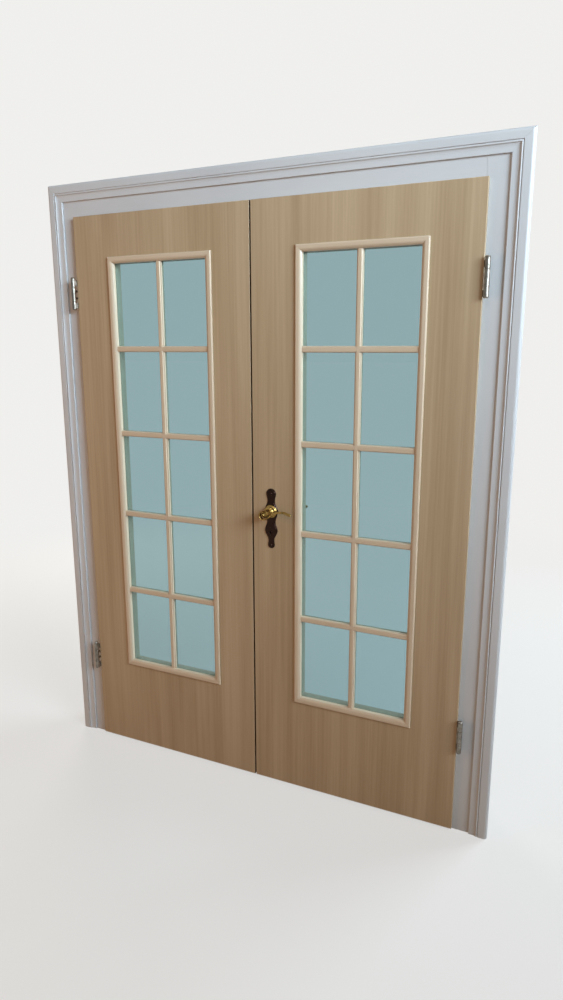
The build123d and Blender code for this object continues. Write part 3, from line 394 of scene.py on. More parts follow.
def build_run_tree():
    """Runs a closed section along a length, with its corners rounded and its ends mitred."""
    tree, given = new_tree(
        "run_of_moulding", "GeometryNodeTree",
        {
            "Section": "Geometry", "Length": "Float", "Start Mitre": "Float",
            "Finish Mitre": "Float", "Flat": "Float", "Joint": "Float", "Round Steps": "Int",
            "Material": "Material",
        },
        {"Length of Moulding": "Geometry"},
    )
    outline = result(tree, "GeometryNodeMeshToCurve", Mesh=given["Section"])
    rounded = result(
        tree, "GeometryNodeFilletCurve", mode="POLY", Curve=outline, Count=given["Round Steps"],
        Radius=read(tree, "round", "FLOAT"), Limit_Radius=True,
    )
    place = result(tree, "GeometryNodeInputPosition")
    rail = result(tree, "GeometryNodeCurvePrimitiveLine", Start=(0, 0, 0), End=(0, 0, 1))
    swept = result(
        tree, "GeometryNodeCurveToMesh", Curve=stored(tree, rail, "along", place),
        Profile_Curve=stored(tree, rounded, "across", place), Fill_Caps=True,
    )
    offset = add_node(tree, "ShaderNodeSeparateXYZ", {0: read(tree, "across")}).outputs
    share = add_node(tree, "ShaderNodeSeparateXYZ", {0: read(tree, "along")}).outputs["Z"]
    reach = maths(tree, "MAXIMUM", maths(tree, "ABSOLUTE", offset["X"]), given["Flat"])
    start_cut, finish_cut = (
        maths(tree, "ADD", maths(tree, "MULTIPLY", reach, given[mitre]), given["Joint"])
        for mitre in ("Start Mitre", "Finish Mitre")
    )
    run = maths(tree, "SUBTRACT", maths(tree, "SUBTRACT", given["Length"], finish_cut), start_cut)
    along = maths(tree, "ADD", start_cut, maths(tree, "MULTIPLY", share, run))
    target = result(tree, "ShaderNodeCombineXYZ", X=offset["X"], Y=offset["Y"], Z=along)
    shaped = result(tree, "GeometryNodeSetPosition", Geometry=swept, Position=target)
    return end_tree(tree, shaped, given["Material"])


def evaluated(holder):
    """The plain mesh that an object's modifiers make, with the object taken away."""
    graph = bpy.context.evaluated_depsgraph_get()
    mesh = bpy.data.meshes.new_from_object(holder.evaluated_get(graph), depsgraph=graph)
    bpy.data.objects.remove(holder)
    return mesh


def grown(tree, seed_mesh, **values):
    """The plain mesh that a node tree makes from a starting mesh and its named inputs."""
    worker = new_object("worker", seed_mesh)
    maker = worker.modifiers.new("maker", "NODES")
    maker.node_group = tree
    names = {
        item.name: item.identifier for item in tree.interface.items_tree
        if item.item_type == "SOCKET" and item.in_out == "INPUT"
    }
    for name, value in values.items():
        maker[names[name.replace("_", " ")]] = value
    return evaluated(worker)


def keep_at_points(mesh, name, values, kind="FLOAT", field="value"):
    """Keeps a value at each point of a mesh, under a name that the node trees read."""
    mesh.attributes.new(name, kind, "POINT").data.foreach_set(field, values)


def section_mesh(corners):
    """A closed section from its corners, each with how far in it lies, its depth and its round."""
    mesh = bpy.data.meshes.new("section")
    count = len(corners)
    mesh.from_pydata(
        [(inward, depth, 0.0) for inward, depth, _ in corners],
        [(i, (i + 1) % count) for i in range(count)], [],
    )
    keep_at_points(mesh, "round", [corner[2] for corner in corners])
    return mesh


def turned_out(mesh, crease=flat_crease):
    """The mesh with its doubles joined and every face turned outwards."""
    work = bmesh.new()
    work.from_mesh(mesh)
    bmesh.ops.remove_doubles(work, verts=work.verts, dist=touching)
    bmesh.ops.recalc_face_normals(work, faces=work.faces)
    split_large_faces(work)
    work.to_mesh(mesh)
    work.free()
    finish_mesh(mesh, crease)
    return mesh


run_tree = build_run_tree()
joint = 0.00012


def run_length(section, corner, inward, along, into, length, start, finish, material, flat=0.0):
    """One moulded length: its outer edge starts at the corner, and its section opens inward."""
    mesh = grown(
        run_tree, section, Length=length, Start_Mitre=float(start), Finish_Mitre=float(finish),
        Flat=flat, Joint=joint if start or finish else 0.0, Round_Steps=6, Material=material,
    )
    turn = Matrix((inward, into, along)).transposed().to_4x4()
    mesh.transform(Matrix.Translation(corner) @ turn)
    return turned_out(mesh)


def fit_round_opening(section, into, lengths):
    """The three painted lengths round the opening, on one face of the wall."""
    for name, corner, inward, along, length, start, finish, enamel in lengths:
        mesh = run_length(section, corner, inward, along, into, length, start, finish, enamel)
        fit(name + "_painted", mesh, None, "frame", "frame_paint", name)


RIGHT, BACK, UP = Vector((1, 0, 0)), Vector((0, 1, 0)), Vector((0, 0, 1))
board_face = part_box("left_moulding")[1][1]
front_x, front_z = 0.818, 2.104
cove_start, cove_width, cove_top, cove_drop, cove_bend = 0.036, 0.013, -0.0085, 0.0025, 2.6
cove = [
    (cove_start + cove_width * share, cove_top + cove_drop * (1 - (1 - share) ** cove_bend), 0.0)
    for share in (0.0, 0.08, 0.18, 0.3, 0.45, 0.62, 0.8, 1.0)
]
moulding_section = section_mesh(
    [
        (0.0, 0.0, 0.0), (0.0, -0.011, 0.0098), (0.0285, -0.011, 0.0007),
        (0.0285, -0.008, 0.0004), (0.031, -0.008, 0.0004), (0.031, -0.011, 0.0024),
        (0.036, -0.011, 0.0024),
    ]
    + cove
    + [(0.058, -0.006, 0.0008), (0.058, 0.0, 0.0)]
)
left, right = (-front_x, board_face), (front_x, board_face)
fit_round_opening(
    moulding_section, BACK,
    (
        ("left_moulding", (*left, 0.0), RIGHT, UP, front_z, False, True, enamel_upright),
        ("head_moulding", (*left, front_z), -UP, RIGHT, 2 * front_x, True, True, enamel_level),
        ("right_moulding", (*right, front_z), -RIGHT, -UP, front_z, True, False, enamel_upright),
    ),
)

wall_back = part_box("left_back_casing")[0][1]
back_x, back_z = 0.761, 2.047
casing_section = section_mesh(
    [(0.0, 0.0, 0.0), (0.0, -0.016, 0.004), (0.07, -0.016, 0.004), (0.07, 0.0, 0.0)]
)
left, right = (-back_x, wall_back), (back_x, wall_back)
fit_round_opening(
    casing_section, -BACK,
    (
        ("right_back_casing", (*right, 0.0), -RIGHT, UP, back_z, False, True, enamel_upright),
        ("head_back_casing", (*right, back_z), -UP, -RIGHT, 2 * back_x, True, True, enamel_level),
        ("left_back_casing", (*left, back_z), RIGHT, -UP, back_z, True, False, enamel_upright),
    ),
)

# The seal: a soft grey rubber strip whose tongue is pressed into a groove round the stop.
# It is extruded in one section and mitred at the two top corners.
rubber, rubber_tree, rubber_shader = new_surface("seal_rubber", Roughness=0.7)
dust = noise(rubber_tree, stretched(rubber_tree, (30.0, 30.0, 30.0)), 4.0, 5.0)
rubber_tree.links.new(
    ramp(rubber_tree, dust, ((0.3, (0.30, 0.29, 0.28)), (0.75, (0.42, 0.41, 0.39)))),
    rubber_shader.inputs["Base Color"],
)
fit("frame_seal_strip", eased_mesh("frame_seal", 0.0), rubber, "frame", "seal_rubber", "frame_seal")

# The leaves: flat timber-cored slabs faced with a pale maple laminate, its fine grain upright.
# A lip runs round three edges and laps over the frame, and the arrises are eased by hand.


def build_grain():
    """Wood grain along Z of the places it is given: broad bands, fine streaks and flecks."""
    tree, given = new_tree(
        "wood_grain", "ShaderNodeTree",
        {
            "Place": "Vector", "Pale": "Color", "Deep": "Color", "Bands": "Float",
            "Streaks": "Float", "Contrast": "Float", "Flecks": "Float",
        },
        {"Colour": "Color", "Sheen": "Float", "Height": "Float"},
    )

    def layer(scale, stretch, detail, rough=0.55, bend=0.0):
        drawn_out = result(
            tree, "ShaderNodeMapping", Vector=given["Place"], Scale=(1.0, 1.0, stretch)
        )
        return noise(tree, drawn_out, scale, detail, Roughness=rough, Distortion=bend)

    def mix(first, second, weight):
        return add_node(
            tree, "ShaderNodeMix", data_type="FLOAT", Factor=weight, A=first, B=second
        ).outputs["Result"]

    bands = layer(given["Bands"], 0.05, 2.0, bend=0.4)
    streaks = layer(given["Streaks"], 0.012, 4.0, 0.65)
    pores = layer(900.0, 0.02, 2.0)
    flecks = mapped(tree, layer(420.0, 0.10, 1.0), 0.66, 0.74, 0.0, 1.0)
    tone = mix(mix(bands, streaks, 0.42), pores, 0.12)
    centred = maths(tree, "ADD", tone, -0.5)
    spread = maths(tree, "MULTIPLY_ADD", centred, given["Contrast"], 0.5)
    darker = maths(tree, "MULTIPLY_ADD", flecks, given["Flecks"], spread, clamp=True)
    add_node(
        tree, "NodeGroupOutput", Colour=blended(tree, darker, given["Pale"], given["Deep"]),
        Sheen=mapped(tree, streaks, 0.3, 0.7, 0.36, 0.46), Height=mix(pores, flecks, 0.3),
    )
    return tree


grain = build_grain()


def timber(name, turn, pale, deep, bands, streaks, contrast, flecks, relief, **constants):
    """A wooden surface with its grain turned to run along the piece."""
    material, tree, shader = new_surface(name, **constants)
    pattern = add_node(
        tree, "ShaderNodeGroup", node_tree=grain, Place=turned_place(tree, turn), Pale=(*pale, 1.0),
        Deep=(*deep, 1.0), Bands=bands, Streaks=streaks, Contrast=contrast, Flecks=flecks,
    ).outputs
    driven_by(
        tree, shader, pattern["Height"], relief, 0.0003,
        Base_Color=pattern["Colour"], Roughness=pattern["Sheen"],
    )
    return material


laminate = timber(
    "maple_laminate", UPRIGHT, (0.540, 0.404, 0.258), (0.378, 0.261, 0.147), 13.0, 130.0, 3.0,
    0.10, 0.10, Specular_IOR_Level=0.4,
)
# Painted shade: the faces of the meeting edges inside the gap between the leaves are coloured a
# near-black brown, as the narrow gap would be in shade.
meeting_edge_shade = timber(
    "meeting_edge_painted_shade", UPRIGHT, (0.105, 0.060, 0.026), (0.050, 0.027, 0.012), 30.0, 200.0, 2.0,
    0.10, 0.10, Specular_IOR_Level=0.2,
)
leaf_front, leaf_back = -0.05925, -0.01925
gap_left, gap_right, face_skin = -0.0150, 0.0065, 0.0012
for leaf in ("active", "passive"):
    node = leaf + "_slab"
    slab = eased_mesh(node, 0.0016)
    slab.materials.clear()
    slab.materials.append(laminate)
    slab.materials.append(meeting_edge_shade)
    # Faces across the gap on the meeting edges take the painted-shade material.
    for face in slab.polygons:
        middle = face.center
        in_gap = gap_left < middle.x < gap_right and middle.y > leaf_front + face_skin
        if in_gap and abs(face.normal.x) > 0.8:
            face.material_index = 1
    fit(leaf + "_leaf_slab", slab, None, leaf + "_leaf", "leaf_laminate", node)

# The glass: one float-glass sheet behind each lattice, held between the two sets of beads.
# The glass is faintly blue-green in its own thickness; its colour is made much darker than that, as
# painted shade for the dim room that would be seen through it. It keeps a few dusty smears.
glass, glass_tree, glass_shader = new_surface(
    "float_glass", Transmission_Weight=1.0, IOR=1.5, Base_Color=(0.32, 0.475, 0.505, 1.0)
)
smears = noise(glass_tree, stretched(glass_tree, (3.0, 3.0, 1.6)), 2.2, 5.0, Distortion=0.8)
glass_tree.links.new(
    mapped(glass_tree, smears, 0.45, 0.8, 0.0, 0.05), glass_shader.inputs["Roughness"]
)
clear_pass = result(glass_tree, "ShaderNodeBsdfTransparent", Color=(0.80, 0.88, 0.88, 1.0))
light_passes = result(
    glass_tree, "ShaderNodeMixShader",
    {
        0: add_node(glass_tree, "ShaderNodeLightPath").outputs["Is Shadow Ray"],
        1: glass_shader.outputs[0], 2: clear_pass,
    },
)
glass_output = next(node for node in glass_tree.nodes if node.type == "OUTPUT_MATERIAL")
glass_tree.links.new(light_passes, glass_output.inputs["Surface"])
for leaf in ("active", "passive"):
    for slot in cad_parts[leaf + "_glass"].material_slots:
        slot.material = glass

# The beads: rounded maple lengths planed lighter than the laminate, mitred round each light on both
# faces and pinned through their inner sides. The grain runs along every length.
bead_upright, bead_level = (
    timber(
        "maple_bead_" + way, turn, (0.72, 0.58, 0.43), (0.56, 0.43, 0.295), 30.0, 300.0, 1.8,
        0.10, 0.15, Coat_Weight=0.3, Coat_Roughness=0.25,
    )
    for way, turn in (("upright", UPRIGHT), ("level", LEVEL))
)
light_width, light_height, light_middle = 0.412, 1.516, 1.094
light_centres = {"active": 0.351, "passive": -0.358}
bead_width, bead_tongue, glass_edge = 0.022, 0.0082, -0.001


def bead_section(glass_depth):
    """The bead's section: a round outer edge, a crest, a long fall to the sight edge, a tongue."""
    fall = [
        (0.012 + 0.010 * t, -0.007 + 0.006 * (t ** 2) * 0.92 + 0.006 * 0.08 * t, 0.0)
        for t in (0.0, 0.2, 0.4, 0.6, 0.8, 0.93)
    ]
    return section_mesh(
        [(0.0, 0.0, 0.0), (0.0, -0.007, 0.0048)]
        + fall
        + [
            (bead_width, glass_edge, 0.0006), (bead_width, glass_depth, 0.0),
            (bead_tongue, glass_depth, 0.0), (bead_tongue, 0.0, 0.0),
        ]
    )


def bead_lengths(centre, face, into, section):
    """The four lengths round a light, by the edge that each lies on."""
    lengths = {}
    for edge, inward in (("left", RIGHT), ("right", -RIGHT), ("bottom", UP), ("top", -UP)):
        along = inward.cross(into)
        across_half = (light_width if inward.x else light_height) / 2
        length = light_height if inward.x else light_width
        middle = Vector((centre, face, light_middle))
        corner = middle - inward * across_half - along * (length / 2)
        material = bead_upright if inward.x else bead_level
        lengths[edge] = run_length(
            section, corner, inward, along, into, length, True, True, material
        )
    return lengths


def joined(meshes, name):
    """Several meshes as one, each keeping its own material."""
    work = bmesh.new()
    materials = []
    for mesh in meshes:
        for material in mesh.materials:
            if material not in materials:
                materials.append(material)
        before = len(work.faces)
        work.from_mesh(mesh)
        work.faces.ensure_lookup_table()
        for face in work.faces[before:]:
            face.material_index = materials.index(mesh.materials[face.material_index])
    whole = made_mesh(work, name)
    for material in materials:
        whole.materials.append(material)
    finish_mesh(whole)
    return whole


front_glass_depth, back_glass_depth = 0.010, 0.026
for leaf, centre in light_centres.items():
    body = leaf + "_leaf"
    front = bead_lengths(centre, leaf_front, BACK, bead_section(front_glass_depth))
    for edge, mesh in front.items():
        node = f"{leaf}_{edge}_bead"
        fit(node + "_length", mesh, None, body, "bead_timber", node)
    back = bead_lengths(centre, leaf_back, -BACK, bead_section(back_glass_depth))
    whole = joined(back.values(), "back_beads")
    node = leaf + "_back_bead"
    fit(node + "_lengths", whole, None, body, "bead_timber", node + "s")

# The bars: one standing bar and four rows of short crossbars on each face of each light, of the
# same maple as the beads, the short ones scribed to the rounds of the standing bar.
bar_half, bar_round, bar_depth = 0.010, 0.005, 0.011
bar_section = section_mesh(
    [
        (-bar_half, 0.0, bar_round), (bar_half, 0.0, bar_round), (bar_half, bar_depth, 0.0),
        (-bar_half, bar_depth, 0.0),
    ]
)


def build_lattice_tree():
    """Sets one short bar on both sides of the standing bar, in evenly spaced rows."""
    tree, given = new_tree(
        "rows_of_crossbars", "GeometryNodeTree",
        {
            "Crossbar": "Geometry", "Rows": "Int", "First Row": "Float", "Row Spacing": "Float",
            "Material": "Material",
        },
        {"Crossbars": "Geometry"},
    )
    first, step = (
        result(tree, "ShaderNodeCombineXYZ", Z=given[rise])
        for rise in ("First Row", "Row Spacing")
    )
    rows = result(
        tree, "GeometryNodeMeshLine", mode="OFFSET", Count=given["Rows"], Start_Location=first,
        Offset=step,
    )
    mirrored = result(
        tree, "GeometryNodeTransform", Geometry=given["Crossbar"], Scale=(-1.0, 1.0, 1.0)
    )
    both = add_node(tree, "GeometryNodeJoinGeometry")
    for bar in (given["Crossbar"], mirrored):
        side = result(tree, "GeometryNodeInstanceOnPoints", Points=rows, Instance=bar)
        tree.links.new(side, both.inputs[0])
    return end_tree(tree, both.outputs[0], given["Material"])


lattice_tree = build_lattice_tree()
first_row, row_spacing = -0.4476, 0.2984
front_bar_face, back_bar_face = leaf_front - 0.001, bar_depth - 0.04525
crossbar_length = light_width / 2 - bead_width
for leaf, centre in light_centres.items():
    body = leaf + "_leaf"
    for side, face, into in (("", front_bar_face, BACK), ("_back", back_bar_face, -BACK)):
        crossbar = run_length(
            bar_section, (0.0, 0.0, 0.0), UP if into.y > 0 else -UP, RIGHT, into, crossbar_length,
            True, False, bead_level, flat=bar_half - bar_round,
        )
        rows = grown(
            lattice_tree, crossbar, Rows=4, First_Row=first_row, Row_Spacing=row_spacing,
            Material=bead_level,
        )
        rows.transform(Matrix.Translation((centre, face, light_middle)))
        node = f"{leaf}{side}_crossbar"
        fit(node + "_rows", turned_out(rows), None, body, "bead_timber", node + "s")
        node = f"{leaf}{side}_upright_bar"
        fit(node + "_planed", eased_mesh(node, 0.0), bead_upright, body, "bead_timber", node)

# The brads: thin steel pins driven through the inner sides of the beads, their heads set flush.
# Ten hold the standing beads of a light and six hold the level ones.


def build_fixing_tree():
    """Sets a fixing at every point, its shank turned along the way that it is driven."""
    tree, given = new_tree(
        "driven_fixings", "GeometryNodeTree",
        {"Points": "Geometry", "Fixing": "Object", "Material": "Material"}, {"Fixings": "Geometry"},
    )
    pattern = add_node(tree, "GeometryNodeObjectInfo", Object=given["Fixing"])
    aimed = result(tree, "FunctionNodeAlignRotationToVector", axis="Z", Vector=read(tree, "drive"))
    spin = result(
        tree, "FunctionNodeAxisAngleToRotation", Axis=(0.0, 0.0, 1.0),
        Angle=read(tree, "slot_turn", "FLOAT"),
    )
    turned = result(
        tree, "FunctionNodeRotateRotation", rotation_space="LOCAL", Rotation=aimed, Rotate_By=spin
    )
    placed = result(
        tree, "GeometryNodeInstanceOnPoints", Points=given["Points"],
        Instance=pattern.outputs["Geometry"], Rotation=turned,
    )
    return end_tree(tree, placed, given["Material"])


fixing_tree = build_fixing_tree()


def turned_mesh(profile, sides):
    """A shape turned about Z from its profile: radius and height, from one end to the other."""
    work = bmesh.new()
    rings = []
    for radius, height in profile:
        angles = [2 * math.pi * i / sides for i in range(sides if radius else 1)]
        ring = [(radius * math.cos(angle), radius * math.sin(angle), height) for angle in angles]
        rings.append([work.verts.new(place) for place in ring])
    for lower, upper in zip(rings, rings[1:]):
        for i in range(sides):
            j = (i + 1) % sides
            if len(lower) == 1:
                work.faces.new((lower[0], upper[i], upper[j]))
            elif len(upper) == 1:
                work.faces.new((lower[i], lower[j], upper[0]))
            else:
                work.faces.new((lower[i], lower[j], upper[j], upper[i]))
    for ring in (rings[0][::-1], rings[-1]):
        if len(ring) > 1:
            work.faces.new(ring)
    bmesh.ops.recalc_face_normals(work, faces=work.faces)
    return made_mesh(work, "turned")


def driven(places, fixing_mesh, material):
    """The fixings of one kind on one body: each place is a point, a driving way and a turn."""
    points = bpy.data.meshes.new("fixing_places")
    points.from_pydata([place for place, _, _ in places], [], [])
    ways = [value for _, way, _ in places for value in way]
    keep_at_points(points, "drive", ways, "FLOAT_VECTOR", "vector")
    keep_at_points(points, "slot_turn", [turn for _, _, turn in places])
    pattern = new_object("fixing_pattern", fixing_mesh)
    mesh = grown(fixing_tree, points, Fixing=pattern, Material=material)
    bpy.data.objects.remove(pattern)
    finish_mesh(mesh)
    return mesh


def build_tarnish_and_shade():
    """Patches of dull metal among cleaner metal, with fine handling scratches, and darker metal in
    hollows and where parts lie close together: partly patina, partly painted shade.
    """
    tree, given = new_tree(
        "tarnish_and_shade", "ShaderNodeTree",
        {"Clean": "Color", "Dull": "Color", "Scale": "Float", "Grime": "Float", "Gloss": "Float"},
        {"Colour": "Color", "Roughness": "Float", "Height": "Float"},
    )
    place = add_node(tree, "ShaderNodeTexCoord").outputs["Object"]
    cloud = noise(tree, place, given["Scale"], 6.0, Roughness=0.6)
    rubbed = result(
        tree, "ShaderNodeMapping", Vector=place, Scale=(1.0, 1.0, 0.06), Rotation=(0.3, 0.4, 0.0)
    )
    scratch = noise(tree, rubbed, 2600.0, 2.0)
    patch = mapped(tree, cloud, 0.38, 0.68, 0.0, 0.6)
    # Ambient occlusion darkens hollows and metal lying close to other parts: partly patina, partly
    # painted shade.
    openness = add_node(tree, "ShaderNodeAmbientOcclusion", samples=8, Distance=0.008)
    recess_patina_and_shade = mapped(tree, openness.outputs["AO"], 0.45, 0.92, 1.0, 0.0)
    patina_and_shade = maths(tree, "MAXIMUM", patch, recess_patina_and_shade)
    weight = maths(tree, "MULTIPLY", patina_and_shade, given["Grime"], clamp=True)
    rougher = maths(tree, "MULTIPLY_ADD", weight, 0.28, given["Gloss"])
    add_node(
        tree, "NodeGroupOutput", Colour=blended(tree, weight, given["Clean"], given["Dull"]),
        Roughness=maths(tree, "MULTIPLY_ADD", scratch, 0.08, rougher), Height=scratch,
    )
    return tree


tarnish_and_shade = build_tarnish_and_shade()


def metal(name, clean, dull, roughness, grime, scale, **constants):
    """A metal that has dulled in patches, smoother where it is still clean, and darker in its
    hollows, partly patina and partly painted shade.
    """
    material, tree, shader = new_surface(name, Metallic=1.0, **constants)
    patches = add_node(
        tree, "ShaderNodeGroup", node_tree=tarnish_and_shade, Clean=(*clean, 1.0), Dull=(*dull, 1.0),
        Scale=scale, Grime=grime, Gloss=roughness,
    ).outputs
    driven_by(
        tree, shader, patches["Height"], 0.08, 0.0002,
        Base_Color=patches["Colour"], Roughness=patches["Roughness"],
    )
    return material


brad_steel = metal("brad_steel", (0.20, 0.17, 0.14), (0.05, 0.035, 0.025), 0.45, 0.9, 400.0)
brad_mesh = turned_mesh(
    (
        (0.0, -0.0001), (0.0006, -0.0001), (0.00095, 0.0002), (0.001, 0.0006), (0.001, 0.0275),
        (0.0, 0.030),
    ),
    12,
)
sight_half, sight_rise = 0.184, 0.736
brad_y = leaf_front + 0.005
brad_rises = (-0.6064, -0.3032, 0.0, 0.3032, 0.6064)
brad_steps = (-0.1373, 0.0, 0.1373)
for leaf, centre in light_centres.items():
    places = []
    for way in (-1, 1):
        side, level = centre + way * sight_half, light_middle + way * sight_rise
        places += [((side, brad_y, light_middle + rise), (way, 0, 0), 0.0) for rise in brad_rises]
        places += [((centre + step, brad_y, level), (0, 0, way), 0.0) for step in brad_steps]
    pins = driven(places, brad_mesh, brad_steel)
    fit(leaf + "_brad_pins", pins, None, leaf + "_leaf", "brad_steel", leaf + "_brads")

# The hinges: turned steel knuckles with domed caps, two on the leaf and one on the frame at each
# hinge, screwed in by studs and joined by a loose pin. They are nickel plated and slightly dull.
# Their darkness in the hollows and on the lugs beside the leaf edge is partly painted shade.
hinge_steel = metal("hinge_steel", (0.42, 0.39, 0.34), (0.085, 0.070, 0.055), 0.24, 1.0, 90.0)
for node, body in (
    ("hinge_sockets", "frame"), ("hinge_pins", "frame"),
    ("active_hinge_knuckles", "active_leaf"), ("passive_hinge_knuckles", "passive_leaf"),
):
    fit(node + "_steel", eased_mesh(node, 0.0009, 0.0), hinge_steel, body, "hinge_steel", node)

# The lock, the strike and the flush bolts: pressed and milled steel let into the meeting edges,
# zinc plated, with countersunk screws. The bolts themselves are ground bright, but here they share
# the plated steel.
lock_steel = metal("lock_steel", (0.55, 0.54, 0.52), (0.33, 0.32, 0.30), 0.30, 0.4, 50.0)
for node, body in (
    ("lock_case", "active_leaf"), ("latch_bolt", "latch"), ("dead_bolt", "dead_bolt"),
    ("lock_follower", "lever_set"), ("spindle", "lever_set"), ("strike_plate", "passive_leaf"),
    ("flush_cases", "passive_leaf"), ("top_flush_bolt", "top_bolt"),
    ("bottom_flush_bolt", "bottom_bolt"), ("head_bolt_keep", "frame"),
    ("lock_screws", "active_leaf"), ("edge_screws", "passive_leaf"), ("keep_screws", "frame"),
):
    fit(node + "_steel", eased_mesh(node, 0.0003, 0.008), lock_steel, body, "lock_steel", node)

# The handle plates: cast bronze, waisted and lobed, with a rolled edge, a step and a pillowed
# field, coloured almost black. The keyhole has a raised rim, and each plate is held by two screws.
# The back plate is the same casting reversed.
bronze = metal(
    "dark_bronze", (0.046, 0.021, 0.014), (0.012, 0.006, 0.004), 0.15, 0.7, 130.0,
    Coat_Weight=0.2, Coat_Roughness=0.10,
)
plate_crease = math.radians(34.0)
spindle_place = (0.0585, leaf_front, 1.0125)
leaf_middle_y = (leaf_front + leaf_back) / 2
plate_stations = (
    (0.060, 0.018), (0.036, 0.0135), (0.0, 0.025), (-0.036, 0.0155), (-0.066, 0.0235),
    (-0.100, 0.0105), (-0.117, 0.0125),
)
plate_head, plate_foot = 0.0775, -0.1285
plate_rings = (
    (0.0, 0.0), (0.0, 0.7), (0.35, 1.35), (1.0, 2.0), (1.75, 2.5), (2.5, 2.65), (3.0, 2.5),
    (3.3, 2.6), (3.6, 3.2), (4.3, 3.65), (5.6, 3.95), (7.5, 4.1),
)


def plate_side(steps=9):
    """One side of the plate, from the middle of its head to the middle of its foot."""
    first_rise, first_half = plate_stations[0]
    last_rise, last_half = plate_stations[-1]
    quarter = [math.pi / 2 * i / steps for i in range(steps + 1)]
    points = [
        (first_half * math.sin(angle), first_rise + (plate_head - first_rise) * math.cos(angle))
        for angle in quarter
    ]
    for (rise, half), (next_rise, next_half) in zip(plate_stations, plate_stations[1:]):
        for i in range(1, steps + 1):
            share = i / steps
            eased = share * share * (3 - 2 * share)
            points.append((half + (next_half - half) * eased, rise + (next_rise - rise) * share))
    return points + [
        (last_half * math.cos(angle), last_rise + (plate_foot - last_rise) * math.sin(angle))
        for angle in quarter[1:]
    ]


def round_slot(radius, half_width, drop, round_steps=16, foot_steps=8):
    """The outline of a keyhole: a round with a straight slot below it, counted clockwise."""
    opening = math.asin(half_width / radius)
    turn = 2 * math.pi - 2 * opening
    round_part = [
        (radius * math.sin(angle), radius * math.cos(angle))
        for angle in (math.pi + opening + turn * i / round_steps for i in range(round_steps + 1))
    ]
    foot_part = [
        (half_width * math.cos(angle), -drop + half_width - half_width * math.sin(angle))
        for angle in (math.pi * i / foot_steps for i in range(foot_steps + 1))
    ]
    return round_part + foot_part


def skin(work, rings):
    """Four-sided faces between each ring of points and the next."""
    count = len(rings[0])
    for lower, upper in zip(rings, rings[1:]):
        for i in range(count):
            j = (i + 1) % count
            work.faces.new((lower[i], lower[j], upper[j], upper[i]))


def stacked(outlines):
    """A closed solid from outlines of equal count, each with its height, filled at both ends."""
    work = bmesh.new()
    rings = [[work.verts.new((x, -height, z)) for x, z in outline] for outline, height in outlines]
    skin(work, rings)
    work.faces.new(rings[0][::-1])
    work.faces.new(rings[-1])
    split_large_faces(work)
    bmesh.ops.recalc_face_normals(work, faces=work.faces)
    return made_mesh(work, "stacked")


def plate_blank():
    """The casting without its holes, its middle at the spindle and its back on the plane y = 0."""
    side = plate_side()
    outline = side + [(-x, z) for x, z in reversed(side[1:-1])]
    count = len(outline)
    normals = []
    for i in range(count):
        (x0, z0), (x1, z1) = outline[i - 1], outline[(i + 1) % count]
        length = math.hypot(x1 - x0, z1 - z0)
        normals.append(((z0 - z1) / length, (x1 - x0) / length))
    work = bmesh.new()
    rings = [
        [
            work.verts.new((x - nx * inset / 1000, -height / 1000, z - nz * inset / 1000))
            for (x, z), (nx, nz) in zip(outline, normals)
        ]
        for inset, height in plate_rings
    ]
    skin(work, rings)
    half = count // 2
    for ring in (rings[0], rings[-1]):
        work.faces.new((ring[0], ring[1], ring[-1]))
        work.faces.new((ring[half], ring[half + 1], ring[half - 1]))
        for i in range(1, half - 1):
            work.faces.new((ring[i], ring[i + 1], ring[-i - 1], ring[-i]))
    bmesh.ops.recalc_face_normals(work, faces=work.faces)
    return made_mesh(work, "plate_blank")


def carved(mesh, *steps):
    """A closed mesh joined to others or cut by them, each step an operation and a closed mesh."""
    blank = new_object("blank", mesh)
    tools = []
    for operation, tool_mesh in steps:
        tools.append(new_object("tool", tool_mesh))
        cut = blank.modifiers.new("cut", "BOOLEAN")
        cut.operation, cut.solver, cut.object = operation, "EXACT", tools[-1]
    carving = evaluated(blank)
    for tool in tools:
        bpy.data.objects.remove(tool)
    return carving


def turned_to_front(mesh):
    """Turns a shape made about Z so that its top looks out from the front of the leaf."""
    mesh.transform(Matrix(((1, 0, 0, 0), (0, 0, -1, 0), (0, 1, 0, 0), (0, 0, 0, 1))))
    return mesh


def reversed_copy(mesh):
    """The same casting on the other face of the leaf."""
    copy = mesh.copy()
    copy.transform(Matrix.Translation((0, 2 * leaf_middle_y, 0)) @ Matrix.Diagonal((1, -1, 1, 1)))
    return turned_out(copy, plate_crease)


def slot_outline(grow):
    """The keyhole's outline in its place on the plate, grown all round."""
    outline = round_slot(0.0032 + grow, 0.0014 + grow, 0.009 + grow)
    return [(x, z - 0.072) for x, z in outline]


rim_steps = (
    (0.0026, 0.0030), (0.0026, 0.0042), (0.0023, 0.0049), (0.0016, 0.0053), (0.0009, 0.0051)
)
rim = stacked([(slot_outline(grow), height) for grow, height in rim_steps])
keyhole_steps = ((0.0, -0.002), (0.0, 0.0048), (0.0012, 0.0062))
keyhole = stacked([(slot_outline(grow), height) for grow, height in keyhole_steps])
spindle_bore = turned_to_front(turned_mesh(((0.0065, -0.002), (0.0065, 0.008)), 32))
plate = carved(plate_blank(), ("UNION", rim), ("DIFFERENCE", keyhole), ("DIFFERENCE", spindle_bore))
plate.transform(Matrix.Translation(spindle_place))
plate = turned_out(plate, plate_crease)
fit("front_plate_casting", plate, bronze, "active_leaf", "dark_bronze", "front_plate")
fit("back_plate_casting", reversed_copy(plate), bronze, "active_leaf", "dark_bronze", "back_plate")

